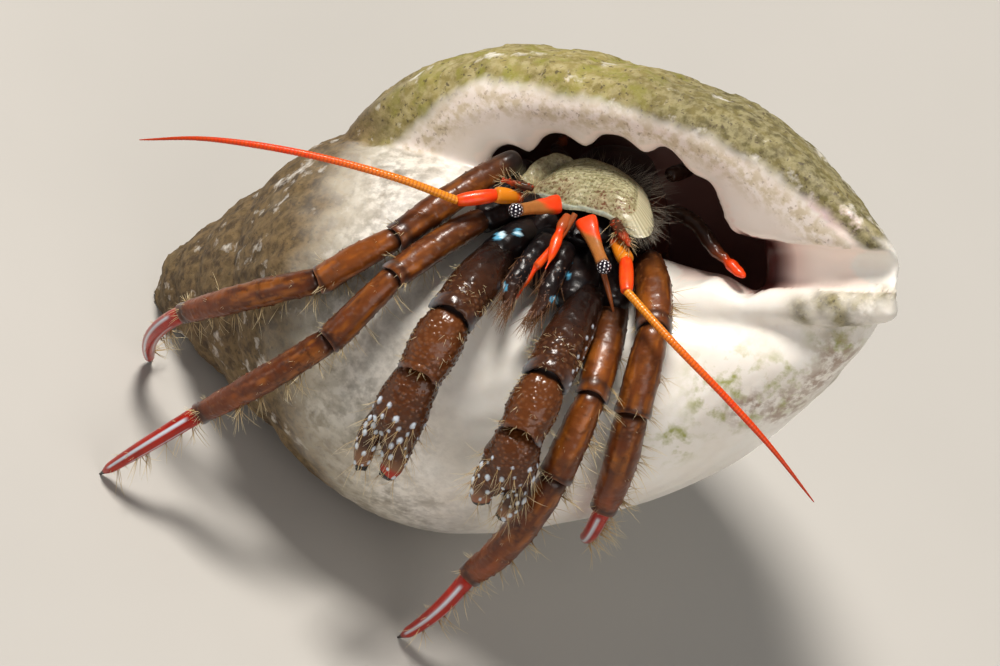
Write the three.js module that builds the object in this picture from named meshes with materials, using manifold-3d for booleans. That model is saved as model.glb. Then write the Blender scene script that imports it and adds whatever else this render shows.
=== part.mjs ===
// Hermit crab (Clibanarius erythropus) living in an adult dog whelk shell (Nucella lapillus).
// Millimetres, +Z up, life size. The floor is Z = 0.
import * as THREE from 'three';
import Module from 'manifold-3d';
import { mergeVertices } from 'three/addons/utils/BufferGeometryUtils.js';

const wasm = await Module();
wasm.setup();

// ---- driving dimensions -------------------------------------------------------------------
const GAP = 0.3; // space kept between one solid and the next
const FLOOR_CUT = 0.45; // all that stands on the floor is worn flat at this height

// whelk shell: a profile (radius from the axis, height below the apex) grown round the axis
const SHELL_PROFILE = [
  [0.06, -9.2], [3.2, -9.4], [4.8, -9.9], [7.2, -11.4], [9.3, -14.2], [10.5, -17.6],
  [10.6, -20.8], [10.1, -24.0], [9.3, -27.4], [7.9, -30.8], [5.8, -33.6], [3.6, -35.8],
  [2.3, -36.9], [1.1, -37.0], [0.06, -36.6],
];
const WHORL_GROWTH = 1.554; // size gained in one turn
const BASE_SLOWNESS = 0.44; // how little the base of the last whorl shrinks in its last half turn
const SWELLING = 0.218; // extra girth half a turn behind the lip
const LIP_LEAN = THREE.MathUtils.degToRad(25.4); // lip turned this far toward the front
const APERTURE = [
  // edge of the opening in the plane of the lip, point by point inside the profile above
  [0.06, -10.2], [2.2, -10.4], [3.0, -11.2], [3.7, -12.6], [4.3, -14.4], [5.2, -16.4],
  [6.2, -18.4], [6.75, -20.8], [6.8, -23.4], [6.6, -25.8], [5.9, -27.6], [4.4, -28.6],
  [3.2, -29.4], [2.6, -33.8], [0.06, -36.4],
];
const TOOTH_HEIGHTS = [-18.0, -20.3, -22.9, -25.4, -27.3];
const INNER_WALL = 1.7;
const SHELL_APEX = new THREE.Vector3(-14.57, 2.44, -0.04);
const SHELL_OUTWARD = new THREE.Vector3(-0.4502, 0.6314, 0.6314);
const SHELL_AXIS = new THREE.Vector3(-0.7814, 0.0637, -0.6208);

// crab body
const FORWARD = new THREE.Vector3(0.024, -0.981, 0.192).normalize();
const DORSAL = new THREE.Vector3(-0.479, 0.118, 0.87).normalize();
const RIGHT = new THREE.Vector3().crossVectors(FORWARD, DORSAL).normalize();
const SHIELD_CENTRE = new THREE.Vector3(0.39, 2.3, 18.35);
const SHIELD_LENGTH = 5.4;
const SHIELD_WIDTH = 5.2;
const EYE_RADIUS = 0.3;

// ---- solid helpers ------------------------------------------------------------------------
function toManifold(geometry) {
  const plain = geometry.clone();
  plain.deleteAttribute('normal');
  plain.deleteAttribute('uv');
  const merged = mergeVertices(plain, 1e-4);
  const mesh = new wasm.Mesh({
    numProp: 3,
    vertProperties: new Float32Array(merged.attributes.position.array),
    triVerts: new Uint32Array(merged.index.array),
  });
  return new wasm.Manifold(mesh);
}

function toGeometry(solid) {
  const mesh = solid.getMesh();
  const geometry = new THREE.BufferGeometry();
  geometry.setAttribute('position', new THREE.BufferAttribute(mesh.vertProperties, 3));
  geometry.setIndex(new THREE.BufferAttribute(mesh.triVerts, 1));
  geometry.computeVertexNormals();
  return geometry;
}

function joined(solids) {
  return solids.reduce((all, one) => all.add(one));
}

// rings of points skinned into a closed body; each end is closed with a flat polygon
function skin(rings) {
  const count = rings[0].length;
  const positions = rings.flat().flatMap((p) => [p.x, p.y, p.z]);
  const index = [];
  for (let i = 0; i + 1 < rings.length; i += 1) {
    for (let j = 0; j < count; j += 1) {
      const a = i * count + j;
      const b = i * count + ((j + 1) % count);
      index.push(a, b, b + count, a, b + count, a + count);
    }
  }
  for (const [base, turned] of [[0, true], [(rings.length - 1) * count, false]]) {
    for (let j = 1; j + 1 < count; j += 1) {
      index.push(base, ...(turned ? [base + j + 1, base + j] : [base + j, base + j + 1]));
    }
  }
  const geometry = new THREE.BufferGeometry();
  geometry.setAttribute('position', new THREE.Float32BufferAttribute(positions, 3));
  geometry.setIndex(index);
  return geometry;
}

const vec = (p) => (p.isVector3 ? p.clone() : new THREE.Vector3(...p));

// a limb piece: stations of centre p, half width a and half thickness b, with rounded ends.
// grow widens and lengthens the piece, to cut clearance for it in a neighbour.
function limb(stations, { up = DORSAL, sides = 8, grow = 0, round = 0.35 } = {}) {
  const p = stations.map((s) => vec(s[0]));
  const last = p.length - 1;
  const lengths = p.map((q, i) => (i ? q.distanceTo(p[i - 1]) : 0));
  const along = lengths.map((_, i) => lengths.slice(0, i + 1).reduce((s, l) => s + l, 0));
  const total = along[last];
  const curve = new THREE.CatmullRomCurve3(p, false, 'centripetal');
  const radiusAt = (distance, k) => {
    const i = Math.min(last - 1, Math.max(0, along.findIndex((d) => d > distance) - 1));
    const t = THREE.MathUtils.clamp((distance - along[i]) / (along[i + 1] - along[i]), 0, 1);
    return THREE.MathUtils.lerp(stations[i][k], stations[i + 1][k], t) + grow;
  };
  const cap = Math.min(round, total / 4);
  const marks = [[0, 0.62], [cap, 1]];
  const inner = along.slice(1, last).filter((d) => d > cap * 1.3 && d < total - cap * 1.3);
  for (const d of inner) marks.push([d, 1]);
  marks.push([total - cap, 1], [total, 0.62]);
  const rings = marks.map(([distance, scale], m) => {
    const shift = m === 0 ? -grow : m === marks.length - 1 ? grow : 0;
    const t = THREE.MathUtils.clamp(distance / total, 0, 1);
    const centre = curve.getPointAt(t);
    const tangent = curve.getTangentAt(t);
    centre.addScaledVector(tangent, shift);
    const side = new THREE.Vector3().crossVectors(tangent, up).normalize();
    const top = new THREE.Vector3().crossVectors(side, tangent).normalize();
    const a = radiusAt(distance, 1) * scale;
    const b = radiusAt(distance, 2) * scale;
    return Array.from({ length: sides }, (_, j) => {
      const angle = (2 * Math.PI * (j + 0.5)) / sides;
      return centre
        .clone()
        .addScaledVector(side, a * Math.cos(angle))
        .addScaledVector(top, -b * Math.sin(angle));
    });
  });
  const solid = toManifold(skin(rings));
  return solid;
}

// an egg with half axes along the crab's right, forward and dorsal directions
function egg(centre, halfRight, halfForward, halfDorsal, detail = 12, grow = 0) {
  const ball = new THREE.SphereGeometry(1, detail, Math.round(detail * 0.6));
  ball.scale(halfRight + grow, halfForward + grow, halfDorsal + grow);
  const turn = new THREE.Matrix4().makeBasis(RIGHT, FORWARD, DORSAL).setPosition(vec(centre));
  return toManifold(ball.applyMatrix4(turn));
}

// ---- the whelk shell ----------------------------------------------------------------------
const smooth = (x) => {
  const t = THREE.MathUtils.clamp(x, 0, 1);
  return t * t * (3 - 2 * t);
};

// profile after shrinking back by so many turns from the lip
function profileAt(turns, profile) {
  const top = profile[0][1];
  const bottom = profile[profile.length - 1][1];
  const late = BASE_SLOWNESS * turns + (1.12 - BASE_SLOWNESS) * smooth((turns - 0.42) / 0.58);
  const low = turns > 1 ? turns * 1.12 : late;
  const swell = 1 + (SWELLING * (1 - Math.cos(2 * Math.PI * turns))) / 2;
  return profile.map(([radius, height]) => {
    const share = THREE.MathUtils.clamp(((height - top) / (bottom - top) - 0.15) / 0.85, 0, 1);
    const weight = share ** 1.2;
    const fall = turns * (1 - weight) + low * weight;
    return [radius * WHORL_GROWTH ** -turns * swell, height * WHORL_GROWTH ** -fall];
  });
}

function pointOnShell(turns, radius, height) {
  const angle = -LIP_LEAN + 2 * Math.PI * turns;
  return new THREE.Vector3(radius * Math.cos(angle), radius * Math.sin(angle), height);
}

// the body swept by the profile between two amounts of turn
function whorl(from, to, steps, profileFor) {
  const rings = [];
  for (let i = 0; i <= steps; i += 1) {
    const turns = THREE.MathUtils.lerp(from, to, i / steps);
    rings.push(profileFor(turns).map(([r, z]) => pointOnShell(turns, r, z)));
  }
  return toManifold(skin(rings));
}

// the profile moved inward by the thickness of the wall
function insideOf(profile, wall) {
  return profile.map(([r, z], i) => {
    const before = profile[Math.max(0, i - 1)];
    const after = profile[Math.min(profile.length - 1, i + 1)];
    const dr = after[0] - before[0];
    const dz = after[1] - before[1];
    const size = Math.hypot(dr, dz);
    return [Math.max(0.05, r + (dz / size) * wall), z - (dr / size) * wall];
  });
}

function cavityProfile(turns) {
  const depth = smooth(turns / 0.13);
  const narrow = 1 - 0.5 * smooth((turns - 0.62) / 0.2);
  const inner = insideOf(profileAt(Math.max(0, turns), SHELL_PROFILE), INNER_WALL);
  const middle = (inner[2][1] + inner[inner.length - 3][1]) / 2;
  return inner.map(([r, z], i) => [
    THREE.MathUtils.lerp(APERTURE[i][0], r, depth) * narrow,
    middle + (THREE.MathUtils.lerp(APERTURE[i][1], z, depth) - middle) * narrow,
  ]);
}

function shellTeeth() {
  return TOOTH_HEIGHTS.map((height) => {
    const next = APERTURE.findIndex(([, z]) => z < height);
    const [before, after] = [APERTURE[next - 1], APERTURE[next]];
    const t = (height - before[1]) / (after[1] - before[1]);
    const radius = THREE.MathUtils.lerp(before[0], after[0], t) + 0.3;
    const tooth = new THREE.SphereGeometry(1, 7, 5).scale(0.7, 1.5, 0.62);
    tooth.rotateZ(-LIP_LEAN);
    tooth.translate(...pointOnShell(0.03, radius, height).toArray());
    return toManifold(tooth);
  });
}

function buildShell() {
  const outer = (turns) => profileAt(turns, SHELL_PROFILE);
  const last = whorl(0, 0.985, 34, outer);
  const hollow = whorl(-0.012, 0.8, 24, cavityProfile);
  const spire = [
    whorl(0.96, 1.92, 20, outer),
    whorl(1.9, 2.86, 14, outer),
    whorl(2.84, 3.8, 12, outer),
    whorl(3.78, 4.7, 9, outer),
  ];
  const columella = new THREE.LatheGeometry(
    [[0, -36.4], [0.5, -36.2], [0.8, -34], [0.85, -30], [1.4, -27.5], [2.0, -24], [1.9, -16],
      [0.9, -6], [0.62, -2.2], [0.3, -1.35], [0, -1.2]].map(([r, z]) => new THREE.Vector2(r, z)),
    12,
  );
  columella.rotateX(Math.PI / 2);
  const core = toManifold(columella);
  const canal = limb(
    [
      [pointOnShell(-0.02, 2.0, -32.0), 0.8, 0.9],
      [pointOnShell(-0.02, 1.8, -35.0), 0.85, 0.9],
      [pointOnShell(-0.02, 1.6, -38.2), 0.9, 0.9],
    ],
    { up: new THREE.Vector3(0, 1, 0), sides: 8 },
  );
  const place = new THREE.Matrix4().makeBasis(
    SHELL_OUTWARD.clone().normalize(),
    new THREE.Vector3().crossVectors(SHELL_AXIS, SHELL_OUTWARD).normalize(),
    SHELL_AXIS.clone().normalize(),
  ).setPosition(SHELL_APEX);
  const local = joined([last.subtract(hollow), ...spire, core, ...shellTeeth()]).subtract(canal);
  return { solid: local.transform(place.elements), place };
}

// ---- the crab -----------------------------------------------------------------------------
const parts = new Map(); // name -> { solid, colour }

function add(name, solid, colour) {
  parts.set(name, { solid, colour });
}

const COLOURS = {
  shell: 0xe9e2da,
  shield: 0x9a9a7a,
  soft: 0xc89a86,
  leg: 0x7a3c1c,
  toe: 0xb5200f,
  claw: 0x5a3218,
  feeler: 0xe0500f,
  stalk: 0xc85a1e,
  eye: 0x15101a,
  mouth: 0x4a2a1a,
};

// a jointed limb given by its joints; widths are half widths at start, middle and end
function jointed(name, joints, pieces, options = {}) {
  pieces.forEach((piece, i) => {
    const start = vec(joints[i]);
    const end = vec(joints[i + 1]);
    const axis = end.clone().sub(start).normalize();
    const trim = piece.trim ?? 0.17;
    const from = start.addScaledVector(axis, i ? trim : 0);
    const to = end.clone().addScaledVector(axis, i < pieces.length - 1 ? -trim : 0);
    const bow = vec(piece.bow ?? [0, 0, 0]);
    const middle = from.clone().lerp(to, 0.5).add(bow);
    const [w0, w1, w2] = piece.widths;
    const deep = piece.depth ?? 1.15;
    const stations = [
      [from, w0, w0 * deep],
      [middle, w1, w1 * deep],
      [to, w2, w2 * deep],
    ];
    piece.stations = stations;
    add(`${name}_${piece.name}`, limb(stations, { ...options, ...piece.options }), piece.colour);
  });
}

const LEG_SHAPE = [
  { name: 'merus', widths: [0.42, 0.6, 0.54], colour: COLOURS.leg },
  { name: 'carpus', widths: [0.42, 0.56, 0.56], colour: COLOURS.leg },
  { name: 'propodus', widths: [0.5, 0.52, 0.38], colour: COLOURS.leg },
  { name: 'dactyl', widths: [0.32, 0.36, 0.24], colour: COLOURS.toe, depth: 1.05 },
];

const WALKING_LEGS = {
  leg_right_third: {
    joints: [[-2.9, 1.9, 17.8], [-5.7, -3.5, 15.7], [-7.5, -4.9, 12.9], [-11.9, -4.4, 6.7],
      [-12.2, -1.63, 0.33]],
    bows: [[0, 0, 0.3], [-0.1, -0.2, 0.1], [-0.3, -0.5, 0.2], [-0.6, -0.5, 0.2]],
  },
  leg_right_second: {
    joints: [[-2.7, -0.9, 17.0], [-5.0, -5.1, 15.3], [-6.0, -7.0, 12.2], [-9.3, -8.2, 5.8],
      [-11.8, -8.93, 0.33]],
    bows: [[0, 0, 0.3], [0, -0.2, 0.1], [0, -0.5, 0.2], [-0.1, -0.5, 0.3]],
  },
  leg_left_second: {
    joints: [[3.4, -2.0, 17.3], [4.6, -6.2, 15.9], [4.9, -7.9, 12.6], [3.8, -8.7, 5.7],
      [2.4, -8.83, 0.33]],
    bows: [[0, 0, 0.3], [0, -0.2, 0.1], [0.3, -0.5, 0], [0.2, -0.4, 0.1]],
  },
  leg_left_third: {
    joints: [[3.9, 0.6, 17.6], [5.5, -3.05, 17.95], [6.4, -5.3, 15.4], [7.3, -6.2, 10.6],
      [7.2, -3.6, 5.9]],
    bows: [[0, 0, 0.3], [0, -0.2, 0.2], [0.1, -0.4, 0.2], [0.1, -0.5, -0.3]],
  },
};

for (const [name, leg] of Object.entries(WALKING_LEGS)) {
  const pieces = LEG_SHAPE.map((piece, i) => ({ ...piece, bow: leg.bows[i] }));
  jointed(name, leg.joints, pieces, { up: new THREE.Vector3(0, -0.707, 0.707) });
}

// claw: upper arm, wrist, then the hand with its fixed finger and the moving finger
function cheliped(name, joints, spread, face) {
  const [shoulder, elbow, wrist, tip] = joints.map(vec);
  const arm = [
    { name: 'merus', widths: [0.5, 0.9, 0.88], colour: COLOURS.claw },
    { name: 'carpus', widths: [0.74, 1.0, 0.9], colour: COLOURS.claw, depth: 0.92, trim: 0.3 },
  ];
  jointed(name, [shoulder, elbow, wrist], arm, { up: face });
  const axis = tip.clone().sub(wrist).normalize();
  const across = vec(spread).normalize();
  const length = tip.distanceTo(wrist);
  const at = (t, side, lift = 0) => wrist
    .clone()
    .addScaledVector(axis, t * length)
    .addScaledVector(across, side)
    .addScaledVector(vec(face), lift);
  const palm = limb(
    [
      [at(0.07, 0), 0.75, 0.7],
      [at(0.25, 0), 1.3, 1.0],
      [at(0.45, -0.05), 1.34, 0.98],
      [at(0.56, -0.35), 0.95, 0.8],
      [at(0.8, -0.72), 0.52, 0.55],
      [at(1.0, -0.55), 0.3, 0.3],
    ],
    { up: face, round: 0.3 },
  );
  const fingerShape = [
    [at(0.5, 0.72), 0.5, 0.6],
    [at(0.75, 0.78), 0.52, 0.56],
    [at(1.02, 0.32), 0.28, 0.3],
  ];
  const finger = limb(fingerShape, { up: face, round: 0.3 });
  const room = limb(fingerShape, { up: face, round: 0.3, grow: GAP * 0.8 });
  const bumps = [];
  for (let row = 0; row < 2; row += 1) {
    for (let k = 0; k < 3; k += 1) {
      const bump = new THREE.OctahedronGeometry(0.17, 0);
      const lift = row === 1 ? 0.88 : 0.68;
      bump.translate(...at(0.2 + 0.1 * k, (row - 1) * 0.7 - 0.05, lift).toArray());
      bumps.push(toManifold(bump));
    }
  }
  // slivers left beside the moving finger are dropped
  const cut = joined([palm, ...bumps]).subtract(room).decompose();
  cut.sort((one, other) => other.volume() - one.volume());
  add(`${name}_palm`, cut[0], COLOURS.claw);
  add(`${name}_finger`, finger, COLOURS.claw);
}

const CLAW_FACE = new THREE.Vector3(0, -0.8, 0.6);
cheliped(
  'cheliped_right',
  [[-1.6, -2.1, 16.9], [-2.1, -6.3, 16.1], [-2.1, -8.1, 14.0], [-1.9, -9.7, 9.2]],
  [-1, 0, 0],
  CLAW_FACE,
);
cheliped(
  'cheliped_left',
  [[1.9, -2.5, 17.0], [2.6, -7.3, 16.5], [2.75, -9.0, 14.7], [3.3, -9.9, 10.8]],
  [1, 0, 0],
  CLAW_FACE,
);

// eyes on their stalks
const EYES = {
  right: { base: [-0.65, -0.6, 18.95], tip: [-1.9, -2.5, 19.5] },
  left: { base: [1.0, -0.75, 19.05], tip: [2.45, -2.6, 19.2] },
};
for (const [side, eye] of Object.entries(EYES)) {
  const base = vec(eye.base);
  const tip = vec(eye.tip);
  const axis = tip.clone().sub(base).normalize();
  const neck = tip.clone().addScaledVector(axis, -EYE_RADIUS - 0.22);
  const stalk = [
    [base, 0.34, 0.34],
    [base.clone().lerp(neck, 0.5), 0.27, 0.27],
    [neck, 0.3, 0.3],
  ];
  add(`eyestalk_${side}`, limb(stalk, { sides: 8, round: 0.2 }), COLOURS.stalk);
  add(`eye_${side}`, egg(tip, EYE_RADIUS, EYE_RADIUS, EYE_RADIUS, 10), COLOURS.eye);
}

// small feelers between the eyes
const ANTENNULES = {
  right: [[0.2, -1.2, 18.7], [-0.1, -2.6, 18.75], [-0.4, -4.2, 18.7], [-0.35, -5.0, 17.9],
    [0.2, -5.5, 17.0]],
  left: [[0.85, -1.2, 18.55], [1.6, -2.3, 18.5], [2.3, -3.5, 18.4], [2.7, -4.1, 18.0],
    [3.2, -4.4, 17.5]],
};
for (const [side, path] of Object.entries(ANTENNULES)) {
  const half = [0.27, 0.27, 0.28, 0.27, 0.25];
  const stations = path.map((p, i) => [p, half[i], half[i]]);
  add(`antennule_${side}`, limb(stations, { sides: 8, round: 0.2 }), COLOURS.feeler);
}

// long feelers: a jointed base, a hairy scale and a whip in two lengths
const ANTENNAE = {
  right: {
    base: [[-2.0, -0.6, 18.4], [-2.9, -1.3, 18.55], [-4.2, -2.3, 18.15]],
    scale: [[-2.3, 0.3, 18.95], [-3.2, -0.6, 19.25]],
    whip: [[-4.35, -2.35, 18.1], [-7.1, -3.1, 18.3], [-10.9, -3.9, 17.7], [-14.5, -4.5, 16.4],
      [-17.0, -5.0, 14.9]],
  },
  left: {
    base: [[2.35, -0.6, 18.8], [3.1, -1.6, 19.2], [3.75, -3.3, 19.3]],
    scale: [[2.75, 0.2, 19.6], [3.6, -0.9, 20.0]],
    whip: [[3.95, -3.45, 19.3], [6.4, -4.6, 19.3], [9.4, -5.2, 18.6], [12.1, -5.5, 17.6],
      [14.8, -5.8, 16.3]],
  },
};
for (const [side, antenna] of Object.entries(ANTENNAE)) {
  const base = antenna.base.map((p, i) => [p, [0.36, 0.34, 0.3][i], [0.36, 0.34, 0.3][i]]);
  add(`antenna_base_${side}`, limb(base, { sides: 8, round: 0.2 }), COLOURS.feeler);
  const scale = antenna.scale.map((p, i) => [p, [0.36, 0.26][i], 0.26]);
  add(`antenna_scale_${side}`, limb(scale, { sides: 8, round: 0.2 }), COLOURS.mouth);
  const whip = antenna.whip.map(vec);
  const curve = new THREE.CatmullRomCurve3(whip, false, 'centripetal');
  const total = curve.getLength();
  const stretch = (from, to) => [0, 1, 2, 3, 4].map((i) => {
    const t = THREE.MathUtils.lerp(from, to, i / 4);
    return [curve.getPointAt(t), 0.29 - 0.03 * t, 0.29 - 0.03 * t];
  });
  const join = 0.15 / total;
  const near = limb(stretch(0.012, 0.5 - join), { sides: 8, round: 0.2 });
  const far = limb(stretch(0.5 + join, 1), { sides: 8, round: 0.2 });
  add(`antenna_whip_${side}_near`, near, COLOURS.feeler);
  add(`antenna_whip_${side}_far`, far, COLOURS.feeler);
}

// outer mouthparts, folded down in front of the mouth
const MOUTHPARTS = {
  right: [[-0.3, -2.2, 17.6], [-0.4, -3.5, 17.45], [0.0, -4.6, 16.9]],
  left: [[0.7, -2.1, 17.75], [0.75, -3.4, 17.55], [0.75, -4.5, 17.0]],
};
for (const [side, path] of Object.entries(MOUTHPARTS)) {
  const stations = path.map((p, i) => [p, [0.42, 0.36, 0.26][i], [0.42, 0.36, 0.26][i]]);
  add(`maxilliped_${side}`, limb(stations, { sides: 8, round: 0.25 }), COLOURS.mouth);
}

// the hard shield over the front of the body
function onShield(right, forward, dorsal) {
  return SHIELD_CENTRE.clone()
    .addScaledVector(RIGHT, right)
    .addScaledVector(FORWARD, forward)
    .addScaledVector(DORSAL, dorsal);
}
const halfLength = SHIELD_LENGTH / 2;
const halfWidth = SHIELD_WIDTH / 2;
const shieldRow = [
  [-1.0, 0.62], [-0.8, 0.84], [-0.35, 0.97], [0.1, 1.0], [0.55, 0.9], [0.85, 0.72], [1.0, 0.46],
].map(([along, wide]) => [onShield(0, along * halfLength, 0), wide * halfWidth, 0.62]);
const shieldBlock = limb(shieldRow, { sides: 12, round: 0.3 });
const under = egg(onShield(0, 0, -1.85), 3.6, 4.4, 1.8, 12);
add('shield', shieldBlock.subtract(under), COLOURS.shield);

// the body under the shield, behind the mouth
const thorax = egg(onShield(0.1, -0.3, -1.6), 2.3, 2.8, 0.82, 12);
const head = egg(onShield(0.1, 1.9, -1.3), 1.6, 1.2, 0.8, 10);
add('thorax', thorax.add(head), COLOURS.mouth);

// soft rear of the body and the belly, coiled up inside the last whorl
const shell = buildShell();
const inShell = (turns, radius, height) => pointOnShell(turns, radius, height)
  .applyMatrix4(shell.place);
const SOFT = {
  carapace_rear: [[onShield(0, -3.35, -1.2), 1.9, 1.1], [inShell(0.13, 4.9, -22.2), 1.8, 1.8],
    [inShell(0.183, 5.05, -21.8), 1.7, 1.8]],
  abdomen_front: [[inShell(0.21, 5.1, -21.6), 1.7, 1.8], [inShell(0.27, 5.2, -21.0), 1.8, 1.9],
    [inShell(0.33, 5.3, -20.4), 1.7, 1.8]],
  abdomen_middle: [[inShell(0.354, 5.3, -20.3), 1.65, 1.75], [inShell(0.42, 5.3, -19.7), 1.6, 1.7],
    [inShell(0.475, 5.15, -19.3), 1.4, 1.5]],
  abdomen_rear: [[inShell(0.495, 5.1, -19.1), 1.35, 1.45], [inShell(0.55, 5, -18.5), 1.1, 1.2],
    [inShell(0.61, 4.8, -17.9), 0.8, 0.85]],
  tail_fan: [[inShell(0.63, 4.7, -17.7), 0.6, 0.6], [inShell(0.66, 4.6, -17.4), 0.75, 0.5],
    [inShell(0.69, 4.5, -17.0), 0.45, 0.35]],
};
for (const [name, stations] of Object.entries(SOFT)) {
  SOFT[name].solid = limb(stations, { up: SHELL_AXIS, sides: 12, round: 0.5 });
}
const bodyRoom = egg(onShield(0.1, -0.3, -1.6), 2.3, 2.8, 0.95, 12, GAP);
const shieldRoom = limb(shieldRow, { sides: 10, round: 0.3, grow: GAP });
SOFT.carapace_rear.solid = SOFT.carapace_rear.solid.subtract(bodyRoom).subtract(shieldRoom);
for (const [name, { solid }] of Object.entries(SOFT)) add(name, solid, COLOURS.soft);

// the last two pairs of legs are small and hold the crab in its shell
const SMALL_LEGS = {
  leg_right_fourth: [onShield(2.3, -3.1, -0.9), onShield(2.7, -4.0, -0.9),
    onShield(2.5, -4.9, -0.7)],
  leg_left_fourth: [[4.5, 2.7, 18.7], [5.7, 1.8, 19.0], [7.1, 1.1, 19.0]],
  leg_right_fifth: [onShield(1.0, -3.5, 0.2), onShield(0.7, -4.3, 0.35), onShield(0.1, -5.0, 0.2)],
  leg_left_fifth: [onShield(-2.75, -2.9, -1.0), onShield(-3.3, -3.9, -1.2),
    onShield(-3.3, -4.9, -1.4)],
};
for (const [name, path] of Object.entries(SMALL_LEGS)) {
  const stations = path.map((p, i) => [p, [0.36, 0.36, 0.27][i], [0.36, 0.36, 0.27][i]]);
  add(name, limb(stations, { sides: 8, round: 0.2 }), COLOURS.leg);
}

add('shell', shell.solid, COLOURS.shell);

// the shell and the toes stand on small flats at one level
const floorCut = toManifold(new THREE.BoxGeometry(80, 80, 20).translate(0, 0, FLOOR_CUT - 10));
for (const part of parts.values()) part.solid = part.solid.subtract(floorCut);

// ---- assembly: origin at the middle of the footprint, on the floor --------------------------
const group = new THREE.Group();
group.name = 'hermit_crab';
const bounds = new THREE.Box3();
const meshes = [];
for (const [name, { solid, colour }] of parts) {
  const mesh = new THREE.Mesh(
    toGeometry(solid),
    new THREE.MeshStandardMaterial({ color: colour, roughness: 0.6 }),
  );
  mesh.name = name;
  mesh.geometry.computeBoundingBox();
  bounds.union(mesh.geometry.boundingBox);
  meshes.push(mesh);
}
const middle = bounds.getCenter(new THREE.Vector3());
for (const mesh of meshes) {
  mesh.geometry.translate(-middle.x, -middle.y, -bounds.min.z);
  group.add(mesh);
}

export default group;
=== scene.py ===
# %% [markdown]
# A hermit crab in a dog whelk shell, life size, as a still museum model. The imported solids
# give every place and size; this script grows the finished surfaces on them. The crab's
# armour, the borrowed shell and the bristles are all worked out as numpy surfaces.

import bpy
import numpy as np
from mathutils import Matrix


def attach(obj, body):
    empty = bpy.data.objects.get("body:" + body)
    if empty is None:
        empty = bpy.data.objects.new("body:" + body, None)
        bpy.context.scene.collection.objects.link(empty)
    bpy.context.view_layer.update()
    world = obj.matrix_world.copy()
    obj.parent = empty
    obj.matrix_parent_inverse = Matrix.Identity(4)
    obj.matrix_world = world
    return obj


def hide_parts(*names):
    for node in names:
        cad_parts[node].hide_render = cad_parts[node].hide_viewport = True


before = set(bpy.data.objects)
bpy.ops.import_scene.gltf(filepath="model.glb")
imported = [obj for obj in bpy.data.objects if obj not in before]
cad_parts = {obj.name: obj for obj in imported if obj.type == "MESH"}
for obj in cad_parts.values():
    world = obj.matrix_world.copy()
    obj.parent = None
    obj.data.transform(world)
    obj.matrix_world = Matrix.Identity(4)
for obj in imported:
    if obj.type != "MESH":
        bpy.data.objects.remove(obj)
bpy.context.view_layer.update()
print("nodes in the frame:", len(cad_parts))

# %% [markdown]
# All shapes are written in millimetres, in the drawing's own axes, where the floor line is
# cut at 0.45 mm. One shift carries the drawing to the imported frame, and the mesh is stored
# in metres. Numbers stay readable that way, and every object can sit at the origin.

# %% Units and small helpers
TO_FRAME = np.array([1.1085753, -0.6009946, -0.45])  # mm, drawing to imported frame
FLOOR = 0.45  # height of the floor in the drawing, mm
MM = 0.001  # one millimetre in metres


def unit(v):
    """Each vector divided by its own length."""
    v = np.asarray(v, float)
    return v / np.maximum(np.linalg.norm(v, axis=-1, keepdims=True), 1e-12)


TOWARD = unit([0, -1, 1])  # from the model toward the camera


def smooth(x):
    """Eased step from 0 to 1: three x squared less two x cubed, held at both ends."""
    x = np.clip(x, 0, 1)
    return x * x * (3 - 2 * x)


def ramp(x, start, width):
    """The eased step that begins at start and is done a width later."""
    return smooth((x - start) / width)


def bump_at(x, middle, reach):
    """A smooth hill of height one: e to the minus square of distance over reach."""
    return np.exp(-((x - middle) / reach) ** 2)


def distances(line):
    """Distance of each point along a line: the running sum of the lengths of its steps."""
    return np.concatenate([[0], np.cumsum(np.linalg.norm(np.diff(line, axis=0), axis=1))])


def through(points, count):
    """Smooth run through the points (Catmull-Rom cubic between each pair), count samples."""
    p = np.asarray(points, float)
    x = np.linspace(0, len(p) - 1, count)
    i = np.minimum(x.astype(int), len(p) - 2)
    t = (x - i)[:, None]
    e = np.vstack([2 * p[0] - p[1], p, 2 * p[-1] - p[-2]])
    a, b, c, d = e[i], e[i + 1], e[i + 2], e[i + 3]
    return 0.5 * (2 * b + (c - a) * t + (2 * a - 5 * b + 4 * c - d) * t**2
                  + (3 * b - a - 3 * c + d) * t**3)


def mottle(points, size, seed):
    """Cloudy number 0 to 1: random values on a lattice of that size, eased between."""
    table = np.random.default_rng(seed).random((32, 32, 32))
    q = np.asarray(points, float) / size
    i = np.floor(q).astype(int)
    f = q - i
    f = f * f * (3 - 2 * f)
    total = np.zeros(q.shape[:-1])
    for corner in np.ndindex(2, 2, 2):
        k = (i + corner) % 32
        weight = np.prod(np.where(corner, f, 1 - f), axis=-1)
        total += weight * table[k[..., 0], k[..., 1], k[..., 2]]
    return total


def blotches(points, size, seed):
    """Mottle in three sizes, each half as large and half as strong as the one before."""
    return sum(mottle(points, size / 2**k, seed + k) / 2**k for k in range(3)) / 1.75


print("floor line in the frame:", round(FLOOR + TO_FRAME[2], 3), "mm")

# %% [markdown]
# A surface is kept as plain arrays: points, four-sided faces, three-sided faces and named
# numbers for each point. Several surfaces can be joined before they become one mesh, which
# keeps a leg with its membranes, or a hundred bristles, in a single piece.

# %% Surfaces as arrays


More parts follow.
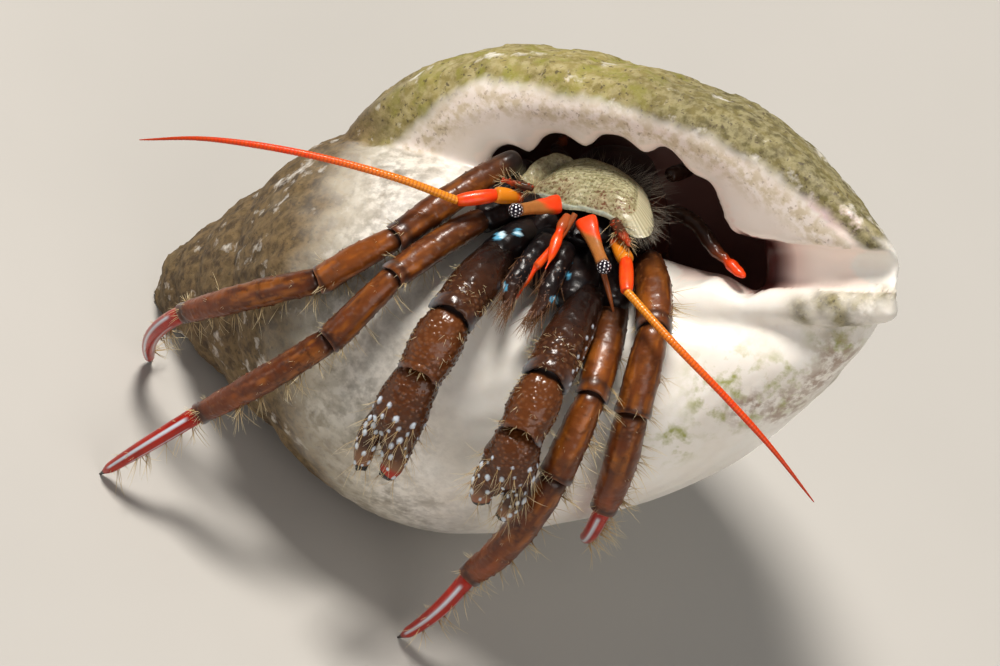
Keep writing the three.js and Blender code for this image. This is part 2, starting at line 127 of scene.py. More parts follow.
def tube(rings, **marks):
    """Rings of points (rows, around, 3) skinned into a closed tube, with a pole at each end.
    Marks are numbers for each row, or for each row and column."""
    rows, around = rings.shape[:2]
    ends = [rings[0].mean(0), rings[-1].mean(0)]
    v = np.vstack([rings.reshape(-1, 3), ends])
    i = np.arange(rows * around).reshape(rows, around)
    j = np.roll(i, -1, axis=1)
    quads = np.stack([i[:-1], j[:-1], j[1:], i[1:]], -1).reshape(-1, 4)
    low, high = len(v) - 2, len(v) - 1
    caps = np.vstack([
        np.stack([np.full(around, low), j[0], i[0]], -1),
        np.stack([np.full(around, high), i[-1], j[-1]], -1),
    ])
    named = {}
    for key, value in marks.items():
        value = np.asarray(value, float)
        value = value[:, None] if value.ndim == 1 else value
        grid = np.broadcast_to(value, (rows, around))
        named[key] = np.concatenate([grid.ravel(), [grid[0].mean(), grid[-1].mean()]])
    surface = {"v": v, "quads": quads, "tris": caps, "marks": named}
    a, b, c = (v[np.vstack([quads[:, :3], quads[:, [0, 2, 3]], caps])][:, k] for k in range(3))
    if np.einsum("ij,ij->i", a, np.cross(b, c)).sum() < 0:  # signed volume: turn it outward
        surface["quads"], surface["tris"] = quads[:, ::-1], caps[:, ::-1]
    return surface


def joined(surfaces):
    """The surfaces as one: points stacked, face numbers shifted, missing marks zero."""
    keys = sorted({k for s in surfaces for k in s["marks"]})
    starts = np.cumsum([0] + [len(s["v"]) for s in surfaces[:-1]])
    return {
        "v": np.vstack([s["v"] for s in surfaces]),
        "quads": np.vstack([s["quads"] + n for s, n in zip(surfaces, starts)]),
        "tris": np.vstack([s["tris"] + n for s, n in zip(surfaces, starts)]),
        "marks": {k: np.concatenate([s["marks"].get(k, np.zeros(len(s["v"])))
                                     for s in surfaces]) for k in keys},
    }


def normals_of(surface):
    """Point normals: each face's area vector added to its corners, then made unit."""
    v = surface["v"]
    total = np.zeros_like(v)
    faces = [surface["tris"], surface["quads"][:, :3], surface["quads"][:, [0, 2, 3]]]
    tri = np.vstack(faces)
    area = np.cross(v[tri[:, 1]] - v[tri[:, 0]], v[tri[:, 2]] - v[tri[:, 0]])
    for k in range(3):
        for axis in range(3):
            total[:, axis] += np.bincount(tri[:, k], area[:, axis], len(v))
    return unit(total)


def placed(name, data):
    """A new object for that mesh, lamp or camera, linked to the scene at its origin."""
    made = bpy.data.objects.new(name, data)
    bpy.context.scene.collection.objects.link(made)
    return made


def make_piece(name, surface, material, nodes=()):
    """Puts a surface into a mesh object that rides on the root and stands for the nodes.
    What would sink through the floor is held flat on it."""
    v = surface["v"].copy()
    v[:, 2] = np.maximum(v[:, 2], FLOOR)
    quads, tris = surface["quads"], surface["tris"]
    mesh = bpy.data.meshes.new(name)
    mesh.vertices.add(len(v))
    mesh.vertices.foreach_set("co", ((v + TO_FRAME) * MM).ravel())
    mesh.loops.add(quads.size + tris.size)
    mesh.loops.foreach_set("vertex_index", np.concatenate([quads.ravel(), tris.ravel()]))
    mesh.polygons.add(len(quads) + len(tris))
    starts = np.concatenate([np.arange(len(quads)) * 4,
                             quads.size + np.arange(len(tris)) * 3])
    mesh.polygons.foreach_set("loop_start", starts)
    mesh.update(calc_edges=True)
    mesh.validate()
    mesh.polygons.foreach_set("use_smooth", np.ones(len(mesh.polygons), bool))
    for key, value in surface["marks"].items():
        if key not in ("bake_u", "bake_v"):
            mesh.attributes.new(key, "FLOAT", "POINT").data.foreach_set("value", value)
    if "bake_u" in surface["marks"]:
        corner = np.zeros(len(mesh.loops), int)
        mesh.loops.foreach_get("vertex_index", corner)
        at = np.stack([surface["marks"]["bake_u"], surface["marks"]["bake_v"]], -1)[corner]
        mesh.uv_layers.new(name="OFBake").data.foreach_set("uv", at.ravel())
    mesh.materials.append(material)
    piece = placed(name, mesh)
    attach(piece, "root")
    if nodes:
        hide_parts(*nodes)
    print(name, "faces:", len(mesh.polygons))


print("surface helpers ready")


# %% [markdown]
# Colours are written as the sRGB hex values a painter would pick and turned to linear light
# once. One helper adds a node with its settings and links. A finish is then a base colour
# with washes laid over it, each through a mask, the way a model maker glazes a casting.

# %% Colour and node helpers


def linear(colour):
    """sRGB hex to linear: each channel over 12.92 when dark, else the 2.4 power curve."""
    c = np.array([int(colour[k:k + 2], 16) for k in (1, 3, 5)]) / 255
    c = np.where(c <= 0.04045, c / 12.92, ((c + 0.055) / 1.055) ** 2.4)
    return (*c.tolist(), 1.0)


def add(tree, kind, inputs=None, **settings):
    """Adds one node: settings are its own options, inputs are values or sockets to link."""
    made = tree.nodes.new(kind)
    for key, value in settings.items():
        setattr(made, key, value)
    for key, value in (inputs or {}).items():
        if isinstance(value, bpy.types.NodeSocket):
            tree.links.new(value, made.inputs[key])
        else:
            made.inputs[key].default_value = value
    return made


def new_finish(name):
    """An empty material, its node tree and the object's own coordinates."""
    finish = bpy.data.materials.new(name)
    finish.use_nodes = True
    tree = finish.node_tree
    tree.nodes.clear()
    return finish, tree, add(tree, "ShaderNodeTexCoord").outputs["Object"]


def shaded(tree, settings):
    """Ends a finish: the shader with its numbers and linked colours, on to the output."""
    shader = add(tree, "ShaderNodeBsdfPrincipled", settings)
    add(tree, "ShaderNodeOutputMaterial", {"Surface": shader.outputs[0]})


def washes(tree, base, layers):
    """Colour base with layers laid over it in turn. A layer is its masks and then its colour.
    A mask is a socket, a number or the name of a mark that the piece carries at each point,
    and the masks of a layer are multiplied, held between 0 and 1 at each step."""
    colour = linear(base) if isinstance(base, str) else base
    for *masks, top in layers:
        sockets = [add(tree, "ShaderNodeAttribute", attribute_name=mask).outputs["Fac"]
                   if isinstance(mask, str) else mask for mask in masks]
        cover = sockets[0]
        for other in sockets[1:]:
            cover = add(tree, "ShaderNodeMath", {0: cover, 1: other}, operation="MULTIPLY",
                        use_clamp=True).outputs[0]
        top = linear(top) if isinstance(top, str) else top
        colour = add(tree, "ShaderNodeMix", {0: cover, 6: colour, 7: top},
                     data_type="RGBA").outputs[2]
    return colour


def patches(tree, place, size_mm, low, high, detail=4.0):
    """Mask of soft patches: noise of that size in mm, stretched between low and high."""
    noise = add(tree, "ShaderNodeTexNoise",
                {"Vector": place, "Scale": 1000 / size_mm, "Detail": detail, "Roughness": 0.6})
    return add(tree, "ShaderNodeMapRange",
               {0: noise.outputs[0], 1: low, 2: high}).outputs[0]


print("a mid brown in linear light:", [round(c, 3) for c in linear("#8A4A1E")])

# %% [markdown]
# The shell is an old dog whelk: a cone of whorls, each a shrunken copy of the one before.
# A spiral shell is a single outline carried round an axis while it shrinks by the same
# ratio each turn, so that is how it is drawn. The last whorl is hollowed by a second,
# inner sweep, and both are joined and evened out in a fine remesh, as the real shell grew
# as one piece.

# %% The whelk's outline, growth and axes
OUTLINE = through([  # radius from the axis, height below the apex, mm
    [0.06, -9.2], [3.2, -9.4], [4.8, -9.9], [7.2, -11.4], [9.3, -14.2], [10.5, -17.6],
    [10.6, -20.8], [10.1, -24.0], [9.3, -27.4], [7.9, -30.8], [5.8, -33.6], [3.6, -35.8],
    [2.3, -36.9], [1.1, -37.0], [0.06, -36.6]], 113)
MOUTH = through([  # edge of the opening in the plane of the lip
    [0.06, -10.2], [2.2, -10.4], [3.0, -11.2], [3.7, -12.6], [4.3, -14.4], [5.2, -16.4],
    [6.4, -18.4], [7.1, -20.4], [7.35, -22.2], [7.35, -24.3], [7.1, -26.2], [6.5, -27.6],
    [5.4, -28.5], [4.3, -28.75], [3.35, -28.95], [3.0, -29.9], [2.85, -32.0], [2.6, -33.8],
    [0.06, -36.4]], 113)
AXIS_GAP = 0.05  # nothing comes nearer to the shell's axis than this, mm
OUTLINE[:, 0] = np.maximum(OUTLINE[:, 0], AXIS_GAP)
MOUTH[:, 0] = np.maximum(MOUTH[:, 0], AXIS_GAP)
GROWTH = 1.554  # size gained in one turn
BASE_SLOWNESS, SWELLING, WALL = 0.44, 0.218, 1.7
TEETH = np.array([-17.7, -20.2, -22.9, -25.7, -27.75])  # heights of the lip's teeth
CREST = OUTLINE * 0.45 + MOUTH * 0.55  # top of the rolled lip, between its two edges
CANAL_FLOOR = -29.2  # height where the shallow canal begins, mm
LEAN = np.radians(25.4)
APEX = np.array([-14.57, 2.44, -0.04])
SHELL_X = unit([-0.4502, 0.6314, 0.6314])
SHELL_Z = unit([-0.7814, 0.0637, -0.6208])
SHELL_AXES = np.stack([SHELL_X, np.cross(SHELL_Z, SHELL_X), SHELL_Z])


def grown(turns):
    """The outline after shrinking back so many turns: radius and height divided by the
    growth to that power, with the base shrinking late and extra girth half a turn back."""
    t = np.asarray(turns, float)[:, None]
    top, bottom = OUTLINE[0, 1], OUTLINE[-1, 1]
    late = BASE_SLOWNESS * t + (1.12 - BASE_SLOWNESS) * ramp(t, 0.42, 0.58)
    low = np.where(t > 1, 1.12 * t, late)
    swell = 1 + SWELLING * (1 - np.cos(2 * np.pi * t)) / 2
    share = np.clip(((OUTLINE[:, 1] - top) / (bottom - top) - 0.15) / 0.85, 0, 1) ** 1.2
    fall = t * (1 - share) + low * share
    return np.stack([OUTLINE[:, 0] * GROWTH**-t * swell, OUTLINE[:, 1] * GROWTH**-fall], -1)


def carried(turns, outlines):
    """Outlines set round the axis, each at its own angle, then stood in the drawing."""
    angle = (2 * np.pi * np.asarray(turns) - LEAN)[:, None]
    r, h = outlines[..., 0], outlines[..., 1]
    local = np.stack([r * np.cos(angle), r * np.sin(angle), h], -1)
    return APEX + local @ SHELL_AXES


print("whelk height:", round(float(-OUTLINE[:, 1].min()), 1), "mm")

# %% [markdown]
# A full-grown whelk ends in a thick lip that rolls over from its outer face to its opening.
# So the wall is two sweeps, one outside and one inside, that bend toward a shared crest at
# the lip. The row of teeth is a set of dips in the inner one.

# %% Outer sweep, hollow and lip


def fold(edge):
    """Quarter-round: one less the square root of one less the square, for a rolled lip."""
    edge = np.clip(edge, 0, 1)
    return 1 - np.sqrt(1 - edge**2)


def inside_of(outlines, wall):
    """Outlines moved inward by the wall's thickness along their own normals."""
    step = unit(np.gradient(outlines, axis=1))
    moved = outlines + wall * np.stack([step[..., 1], -step[..., 0]], -1)
    moved[..., 0] = np.maximum(moved[..., 0], AXIS_GAP)
    return moved


def hollow_outline(turns):
    """Blend from the mouth's edge to the outline inside the wall, narrowing at the back.
    Teeth are rounded dips in the outer edge of the mouth, fading a short way in."""
    t = np.asarray(turns, float)
    inner = inside_of(grown(np.maximum(t, 0)), WALL)
    mouth = np.repeat(MOUTH[None], len(t), 0)
    near = np.exp(-((MOUTH[:, 1, None] - TEETH) / 0.55) ** 2).sum(-1)
    reach = smooth((t + 0.02) / 0.025) * (1 - ramp(t, 0.035, 0.06))
    outer_side = ramp(MOUTH[:, 0], 4.5, 1.2)
    mouth[..., 0] -= 0.72 * reach[:, None] * near * outer_side
    depth = smooth(t / 0.13)[:, None, None]
    shape = mouth * (1 - depth) + inner * depth
    rise = 1 - 0.84 * ramp(t, 0.004, 0.10)[:, None]  # the canal's floor is shallow
    shape[..., 1] = np.maximum(shape[..., 1], CANAL_FLOOR + (shape[..., 1] - CANAL_FLOOR) * rise)
    narrow = (1 - 0.5 * ramp(t, 0.62, 0.2))[:, None]
    middle = (inner[:, 16, 1] + inner[:, -17, 1])[:, None] / 2
    shape[..., 0] *= narrow
    shape[..., 1] = middle + (shape[..., 1] - middle) * narrow
    roll = fold((0.012 - t) / 0.018)[:, None, None]
    return shape * (1 - roll) + CREST[None] * roll


def whorl(start, end, count):
    """Closed body of one stretch of whorl."""
    turns = np.linspace(start, end, count)
    return tube(carried(turns, grown(turns)))


lip_turns = np.concatenate([np.linspace(-0.006, 0.03, 12), np.linspace(0.036, 0.985, 130)])
roll = 0.96 * fold((0.03 - lip_turns) / 0.036)[:, None, None]
lip_outline = grown(np.maximum(lip_turns, 0)) * (1 - roll) + roll * CREST
last_whorl = tube(carried(lip_turns, lip_outline))
hollow_turns = np.concatenate([[-0.03], np.linspace(-0.006, 0.04, 16),
                               np.linspace(0.047, 0.8, 96)])
hollow = tube(carried(hollow_turns, hollow_outline(hollow_turns)))
spire = [whorl(0.96, 1.92, 90), whorl(1.9, 2.86, 70), whorl(2.84, 3.8, 50),
         whorl(3.78, 4.7, 40)]
print("rings round the last whorl:", len(lip_turns), "hollow:", len(hollow_turns))

# %% [markdown]
# The whorls wind round a pillar, and at the foot of the shell a groove, the canal, lets the
# whelk's breathing tube out. The pillar is a profile turned round the axis. The canal and
# the hollow are closed bodies that are cut out of the last whorl.

# %% Columella and canal
columella_line = through([[0.02, -36.4], [0.5, -36.2], [0.8, -34], [0.85, -30], [1.4, -27.5],
                          [2.0, -24], [1.9, -16], [0.9, -6], [0.62, -2.2], [0.3, -1.35],
                          [0.02, -1.2]], 60)
turn_round = np.arange(32) / 32
rings = np.repeat(columella_line[:, None], 32, 1)
angle = 2 * np.pi * turn_round
columella = tube(APEX + np.stack([rings[..., 0] * np.cos(angle), rings[..., 0] * np.sin(angle),
                                  rings[..., 1]], -1) @ SHELL_AXES)
canal_line = through([[2.3, -30.5], [2.0, -32], [1.8, -35], [1.6, -38.6]], 24)
canal_angle = 2 * np.pi * -0.02 - LEAN
canal_centre = np.stack([canal_line[:, 0] * np.cos(canal_angle),
                         canal_line[:, 0] * np.sin(canal_angle), canal_line[:, 1]], -1)
canal_wide = np.interp(np.arange(24), [0, 6, 23], [0.35, 0.85, 0.95])[:, None]
disc = np.stack([np.cos(angle), np.sin(angle), 0 * angle], -1)
canal = tube(APEX + (canal_centre[:, None] + canal_wide[..., None] * disc) @ SHELL_AXES)


def plain_object(name, surface):
    """A scratch mesh in millimetres, to be cut and joined."""
    mesh = bpy.data.meshes.new(name)
    faces = surface["quads"].tolist() + surface["tris"].tolist()
    mesh.from_pydata(surface["v"].tolist(), [], faces)
    return placed(name, mesh)


def settled(body, *modifiers):
    """The body's mesh after its modifiers, which are then dropped with the body."""
    for kind, settings in modifiers:
        added = body.modifiers.new(kind, kind)
        for key, value in settings.items():
            setattr(added, key, value)
    graph = bpy.context.evaluated_depsgraph_get()
    mesh = bpy.data.meshes.new_from_object(body.evaluated_get(graph))
    bpy.data.objects.remove(body)
    return mesh


cut_body = plain_object("last_whorl", last_whorl)
cutters = [plain_object("hollow", hollow), plain_object("canal", canal)]
lime_mesh = settled(cut_body, *[("BOOLEAN", {"operation": "DIFFERENCE", "object": c,
                                             "solver": "EXACT"}) for c in cutters])
for body in cutters:
    bpy.data.objects.remove(body)
print("last whorl after cutting:", len(lime_mesh.polygons), "faces")

# %% [markdown]
# Whorls, pillar and hollow overlap, and the real shell is one piece of lime. A voxel remesh
# makes one skin of them, and a few rounds of easing take its small steps away.

# %% Join the whorls and remesh
whole = placed("whelk", lime_mesh)
others = [plain_object("part", s) for s in [*spire, columella]]
with bpy.context.temp_override(active_object=whole, selected_editable_objects=[whole, *others]):
    bpy.ops.object.join()
VOXEL = 0.215  # fineness of the shell's skin, mm
whelk_mesh = settled(whole, ("REMESH", {"mode": "VOXEL", "voxel_size": VOXEL, "adaptivity": 0.0}))
print("whelk after remesh:", len(whelk_mesh.vertices), "points")


def arrays_of(mesh):
    """A mesh read back as plain arrays of points, quads and triangles."""
    v = np.zeros(len(mesh.vertices) * 3)
    mesh.vertices.foreach_get("co", v)
    total = np.zeros(len(mesh.polygons), int)
    mesh.polygons.foreach_get("loop_total", total)
    loops = np.zeros(len(mesh.loops), int)
    mesh.loops.foreach_get("vertex_index", loops)
    start = np.cumsum(total) - total
    quads = loops[start[total == 4][:, None] + np.arange(4)]
    tris = loops[start[total == 3][:, None] + np.arange(3)]
    return {"v": v.reshape(-1, 3), "quads": quads, "tris": tris.reshape(-1, 3), "marks": {}}


def relaxed(surface, rounds):
    """Each point moved part way to the mean of its neighbours, and back again, so that
    steps are smoothed but the size stays."""
    v, q, t = surface["v"].copy(), surface["quads"], surface["tris"]
    edges = np.vstack([q[:, [0, 1]], q[:, [1, 2]], q[:, [2, 3]], q[:, [3, 0]],
                       t[:, [0, 1]], t[:, [1, 2]], t[:, [2, 0]]])
    edges = np.vstack([edges, edges[:, ::-1]])
    count = np.maximum(np.bincount(edges[:, 0], minlength=len(v)), 1)[:, None]
    for k in range(rounds):
        mean = np.stack([np.bincount(edges[:, 0], v[edges[:, 1], axis], len(v))
                         for axis in range(3)], -1) / count
        v += (0.5 if k % 2 == 0 else -0.45) * (mean - v)
    return {**surface, "v": v}


whelk = relaxed(arrays_of(whelk_mesh), 16)
print("whelk faces:", len(whelk["quads"]) + len(whelk["tris"]))

# %% [markdown]
# What a spot on the shell looks like depends on where the whelk grew it: how far back from
# the lip, how far down the whorl, and whether it faces in or out. Those are worked out for
# each point and kept as marks, so the relief and the colours follow the growth of the shell.

# %% Where each point sits on the whorls


def patch(points, centres, reach):
    """Soft spots: the strongest of bells round the centres, each of its own reach in mm."""
    gap = np.linalg.norm(points[:, None] - np.asarray(centres, float)[None], axis=-1)
    return np.exp(-(gap / np.asarray(reach, float)) ** 2).max(1)


# The pillar's upper edge is drawn down a little in three places by soft bells.
DOWN_PILLAR = unit([0.4848, -0.6184, -0.6184])
for centre, reach, amount in (([4.6, 1.0, 17.5], 1.1, 0.95), ([5.9, 1.1, 18.0], 0.7, 0.35),
                              ([7.9, 0.9, 19.0], 0.8, 0.5)):
    whelk["v"] = whelk["v"] + DOWN_PILLAR * (
        amount * patch(whelk["v"], [centre], [reach]))[:, None]
local = (whelk["v"] - APEX) @ SHELL_AXES.T
radius, height = np.hypot(local[:, 0], local[:, 1]), local[:, 2]
turn = ((np.arctan2(local[:, 1], local[:, 0]) + LEAN) / (2 * np.pi)) % 1.0
spot = np.stack([radius, height], -1)[:, None]
best = np.full(len(turn), 1e9)
back, down = turn.copy(), np.zeros(len(turn))
for k in range(5):
    gap = np.linalg.norm(grown(turn + k)[:, ::4] - spot, axis=-1)
    nearest = gap.argmin(1)
    gap = gap[np.arange(len(gap)), nearest]
    closer = gap < best
    best = np.where(closer, gap, best)
    back = np.where(closer, turn + k, back)
    down = np.where(closer, nearest / (len(OUTLINE[::4]) - 1), down)
to_hollow = np.linalg.norm(hollow_outline(turn) - spot, axis=-1).min(1)
inside = smooth((best - to_hollow) / 0.5 + 0.5) * (turn < 0.83)
at_lip = np.maximum(ramp(turn, 0.985, 0.008), smooth((0.04 - turn) / 0.03)) * (height < -9)
facing = normals_of(whelk) @ SHELL_AXES.T
turnwise = -facing[:, 0] * np.sin(2 * np.pi * turn - LEAN) \
    + facing[:, 1] * np.cos(2 * np.pi * turn - LEAN)
lip_face = ramp(-turnwise, 0.15, 0.5) * at_lip
rough = blotches(whelk["v"], 2.6, 3)
# The weathered spire. Its dark washes are partly its own old crust and partly painted shade.
old = smooth((height + 15.5) / 5 + 0.8 * (rough - 0.5))  # the spire, long weathered
flank = ramp(turn, 0.002, 0.012) * smooth((0.5 + 0.3 * (rough - 0.5) - turn) / 0.3) \
    * ramp(radius, 2.6, 0.6)  # the back of the lip
rim_gap = np.linalg.norm(OUTLINE[::2] - spot, axis=-1).min(1)  # mm in from the lip's edge
border = 1.35 + 1.6 * smooth((height + 19) / 7) + 0.9 * (rough - 0.5)
over_edge = smooth((border - rim_gap) / 0.7) * at_lip * ramp(-height, 9.5, 2)
in_canal = ramp(-height, 31.0, 1.0) * smooth((2.75 - radius) / 0.4) * ramp(radius, 0.85, 0.3)
over_edge *= 1 - in_canal * at_lip
beneath = patch(whelk["v"], [[11.4, -0.2, 21.2], [12.4, 0.0, 22.2], [10.6, -0.5, 20.3],
                              [12.9, 0.6, 23.0], [12.1, -0.6, 21.0], [12.4, -0.7, 20.2]],
                [1.0, 1.0, 0.8, 0.9, 1.1, 1.2])
spotty = 1.6 * beneath * blotches(whelk["v"], 0.6, 21)
clean = lip_face * (1 - over_edge)
crust = np.clip(np.maximum(np.maximum(old, flank), np.maximum(over_edge, spotty)), 0, 1)
crust *= (1 - inside) * (1 - 0.95 * clean) * (1 - in_canal * (turn < 0.2))
print("share under crust:", round(float(crust.mean()), 2), "inside:", round(float(inside.mean()), 2))

# %% [markdown]
# The old outside is rough with crust, spiral cords and lines of growth, while the face of
# the lip is smooth. One height is worked out for each point from those patterns, and the
# point is moved along its normal by it. After that come the marks for its films, stains
# and worn places.

# %% Relief of the shell
out = normals_of(whelk)
fine = blotches(whelk["v"], 0.7, 9) - 0.5
coarse = rough - 0.5
cords = np.cos(2 * np.pi * down * 15) * ramp(radius, 3, 2)
growth = np.cos(2 * np.pi * (back * 46 + 0.8 * mottle(whelk["v"], 3.0, 5)))
lift = crust * (0.20 * fine + 0.22 * coarse + 0.05 * cords + 0.035 * growth)
lift += (1 - crust) * (1 - inside) * (0.03 * coarse + 0.012 * growth) * (1 - lip_face)
lift += 0.012 * lip_face * growth
whelk["v"] = whelk["v"] + out * lift[:, None]
print("relief of the crust:", round(float(lift.min()), 2), "to", round(float(lift.max()), 2), "mm")

# %% Films, stains and wear
green_film = patch(whelk["v"], [[9.7, -2.2, 16.0], [11.3, -1.2, 16.6], [12.3, 0.4, 19.6],
                                [8.2, -3.4, 13.2]], [1.5, 1.2, 0.9, 0.9])
# Grey on the back of the last whorl, strongest toward the spire: partly worn shell and partly painted
# shade.
grey_wear_and_shade = smooth((height + 20.5) / 8) * ramp(turn, 0.5, 0.12) * (1 - lip_face)
grey_wear_and_shade = grey_wear_and_shade * (1 - old) * (0.45 + 0.9 * blotches(whelk["v"], 1.6, 17))
grey_wear_and_shade *= 1 + 0.9 * smooth((height + 14) / 4)
slate_stain = patch(whelk["v"], [[12.6, 0.3, 18.6], [12.7, -0.2, 17.2], [12.0, -0.9, 15.6],
                                 [10.5, -1.9, 15.4]], [0.9, 0.9, 1.1, 0.8])
blush = smooth(1 - np.abs(to_hollow - 1.4) / 1.6) * lip_face * ramp(radius, 2.9, 0.8)
freckle = lip_face * bump_at(rim_gap, border + 0.35, 0.7)
# Painted shade in the canal: its floor turns pink and then dark toward the inner end.
canal_shade = smooth((height + 32.9) / 2.6) * smooth((-29.0 - height) / 1.1) * inside
canal_shade = canal_shade * (1 - ramp(turn, 0.12, 0.1))
# The depth mark is painted shade that darkens the lining deeper in the shell.
whelk["marks"] = {"crust": crust, "inside": inside, "lip": clean, "green": green_film,
                  "slate": slate_stain, "blush": blush, "canal": canal_shade,
                  "freckle": freckle, "grey": grey_wear_and_shade, "old": old,
                  "ripe": ramp(-height, 24, 5),
                  "depth": smooth((height + 31.5) / 3) * np.clip(turn, 0, 1) * inside}
print("marks of the shell:", ", ".join(whelk["marks"]))

# %% [markdown]
# Whelk shell is lime laid down in layers: the inside of the lip is porcelain white with a
# pink blush, and the old outside is chalky, pitted and grown over by green and brown films.
# The porcelain gets a low roughness and a little light let in; the crust is matt.

# %% Finish: weathered lime shell
lime, tree, place = new_finish("weathered_whelk_lime")
speck = patches(tree, place, 0.22, 0.60, 0.68, detail=2.0)
cloud = patches(tree, place, 2.0, 0.38, 0.62)
grit = patches(tree, place, 0.42, 0.42, 0.6)
film = patches(tree, place, 0.9, 0.48, 0.66)
stain = patches(tree, place, 0.8, 0.42, 0.62)
carried_marks = {name: add(tree, "ShaderNodeAttribute", attribute_name=name).outputs["Fac"]
                 for name in ("crust", "old", "depth", "canal")}
worn, young_film, any_stain = (
    add(tree, "ShaderNodeMath", {0: a, 1: b}, operation=kind, use_clamp=True).outputs[0]
    for a, b, kind in ((carried_marks["crust"], patches(tree, place, 1.3, 0.24, 0.40), "MULTIPLY"),
                       (film, carried_marks["old"], "SUBTRACT"), (stain, 0.3, "MAXIMUM")))
depth_shade, canal_painted_shade = (
    add(tree, "ShaderNodeMapRange", {0: carried_marks[name], 1: low, 2: high}).outputs[0]
    for name, low, high in (("depth", 0.02, 0.2), ("canal", 0.4, 0.95)))
# The dark washes on the spire are partly weathered crust and partly painted shade.
chalk = washes(tree, "#96894F", [
    (cloud, 0.8, "#736636"), (grit, 0.65, "#B5A97C"), (young_film, 0.8, "#86832F"),
    ("ripe", 0.75, "#6C6239"), ("ripe", stain, 0.7, "#4B4429"), ("ripe", grit, 0.6, "#A39A72"),
    ("old", 0.9, "#5C482E"), ("old", stain, 0.8, "#38291A"), ("old", grit, 0.5, "#8E744C"),
    (speck, 0.8, "#4A3E2C")])
# The grey washes are partly worn shell and partly painted shade.
ivory = washes(tree, "#F8F4EC", [
    (cloud, 0.35, "#E6DCCB"), ("lip", 0.6, "#F7E6DA"), ("grey", any_stain, 0.8, "#6E5F46"),
    ("grey", grit, 0.6, "#5E5748"), ("blush", 0.9, "#EED0D3"), ("freckle", grit, 0.8, "#CDBB96"),
    (speck, 0.5, "freckle", "#8A6E4E"), ("green", 2.6, film, "#A3A758"),
    ("slate", 1.6, grit, "#B09C8C")])
# The lining's depth and canal washes are painted shade.
lining = washes(tree, "#FFEDE1", [(depth_shade, "#A0726A"), ("canal", "#DFB4A8"),
                                  (canal_painted_shade, "#3E1916")])
matt = add(tree, "ShaderNodeMapRange", {0: worn, 3: 0.32, 4: 0.85}).outputs[0]
pits = add(tree, "ShaderNodeTexNoise", {"Vector": place, "Scale": 1000 / 0.30, "Detail": 3.0})
pit_depth = add(tree, "ShaderNodeMath", {0: pits.outputs[0], 1: worn}, operation="MULTIPLY")
bump = add(tree, "ShaderNodeBump", {"Strength": 0.5, "Distance": 0.12 * MM,
                                    "Height": pit_depth.outputs[0]})
shaded(tree, {
    "Base Color": washes(tree, ivory, [(worn, chalk), ("inside", lining)]),
    "Roughness": matt, "IOR": 1.53, "Normal": bump.outputs[0], "Subsurface Weight": 0.08,
    "Subsurface Radius": (0.0012, 0.0008, 0.0006), "Subsurface Scale": 1.0})
make_piece("whelk_shell", whelk, lime, ["shell"])

# %% [markdown]
# The crab wears its skeleton outside: each limb is a row of hard tubes with soft skin only
# at the joints. A limb is one surface here. Rings are carried along its bowed centre line;
# at each joint the rings flare into a rim, duck back under it, narrow to the soft skin, and
# come out again as the rounded knuckle of the next tube.

# %% Limb helpers


def limb_path(joints, bows):
    """Centre line through the joints, one bowed stretch per tube (a parabola whose middle is
    pushed out by the bow), eased over a short length at the joints. Returns points, the
    distance along, and the distance of each joint."""
    t = np.linspace(0, 1, 80)[:, None]
    runs, marks = [], [0]
    for a, b, bow in zip(joints[:-1], joints[1:], bows):
        a, b = np.array(a, float), np.array(b, float)
        turn_point = 2 * ((a + b) / 2 + bow) - (a + b) / 2
        runs.append(((1 - t)**2 * a + 2 * t * (1 - t) * turn_point + t**2 * b)[:-1])
        marks.append(marks[-1] + 79)
    line = np.vstack(runs + [np.array(joints[-1], float)[None]])
    weights = np.hanning(13)[1:-1] / np.hanning(13)[1:-1].sum()
    pad = np.vstack([np.repeat(line[:1], 5, 0), line, np.repeat(line[-1:], 5, 0)])
    eased = np.stack([np.convolve(pad[:, k], weights, "valid") for k in range(3)], -1)
    eased[0], eased[-1] = line[0], line[-1]
    along = distances(eased)
    return eased, along, along[marks]


def at_distance(path, along, s):
    """Points of the path at those distances along it."""
    return np.stack([np.interp(s, along, path[:, k]) for k in range(3)], -1)


def frames(path, along, s, up):
    """Tangent, side and top at those distances: side is tangent cross up, top closes it."""
    tangent = unit(at_distance(path, along, s + 0.12) - at_distance(path, along, s - 0.12))
    side = unit(np.cross(tangent, up))
    return tangent, side, np.cross(side, tangent)


def ring_set(path, along, s, wide, deep, around, up=TOWARD, square=2.25):
    """Rings at those distances: an ellipse made a little square, of those half widths.
    Angle 0 is the side, a quarter turn is the top."""
    angle = 2 * np.pi * (np.arange(around) + 0.5) / around
    c, n = np.cos(angle), np.sin(angle)
    x, y = np.sign(c) * np.abs(c) ** (2 / square), np.sign(n) * np.abs(n) ** (2 / square)
    _, side, top = frames(path, along, s, up)
    centre = at_distance(path, along, s)
    rings = centre[:, None] + side[:, None] * (wide[:, None, None] * x[:, None]) \
        + top[:, None] * (deep[:, None, None] * y[:, None])
    return rings, angle


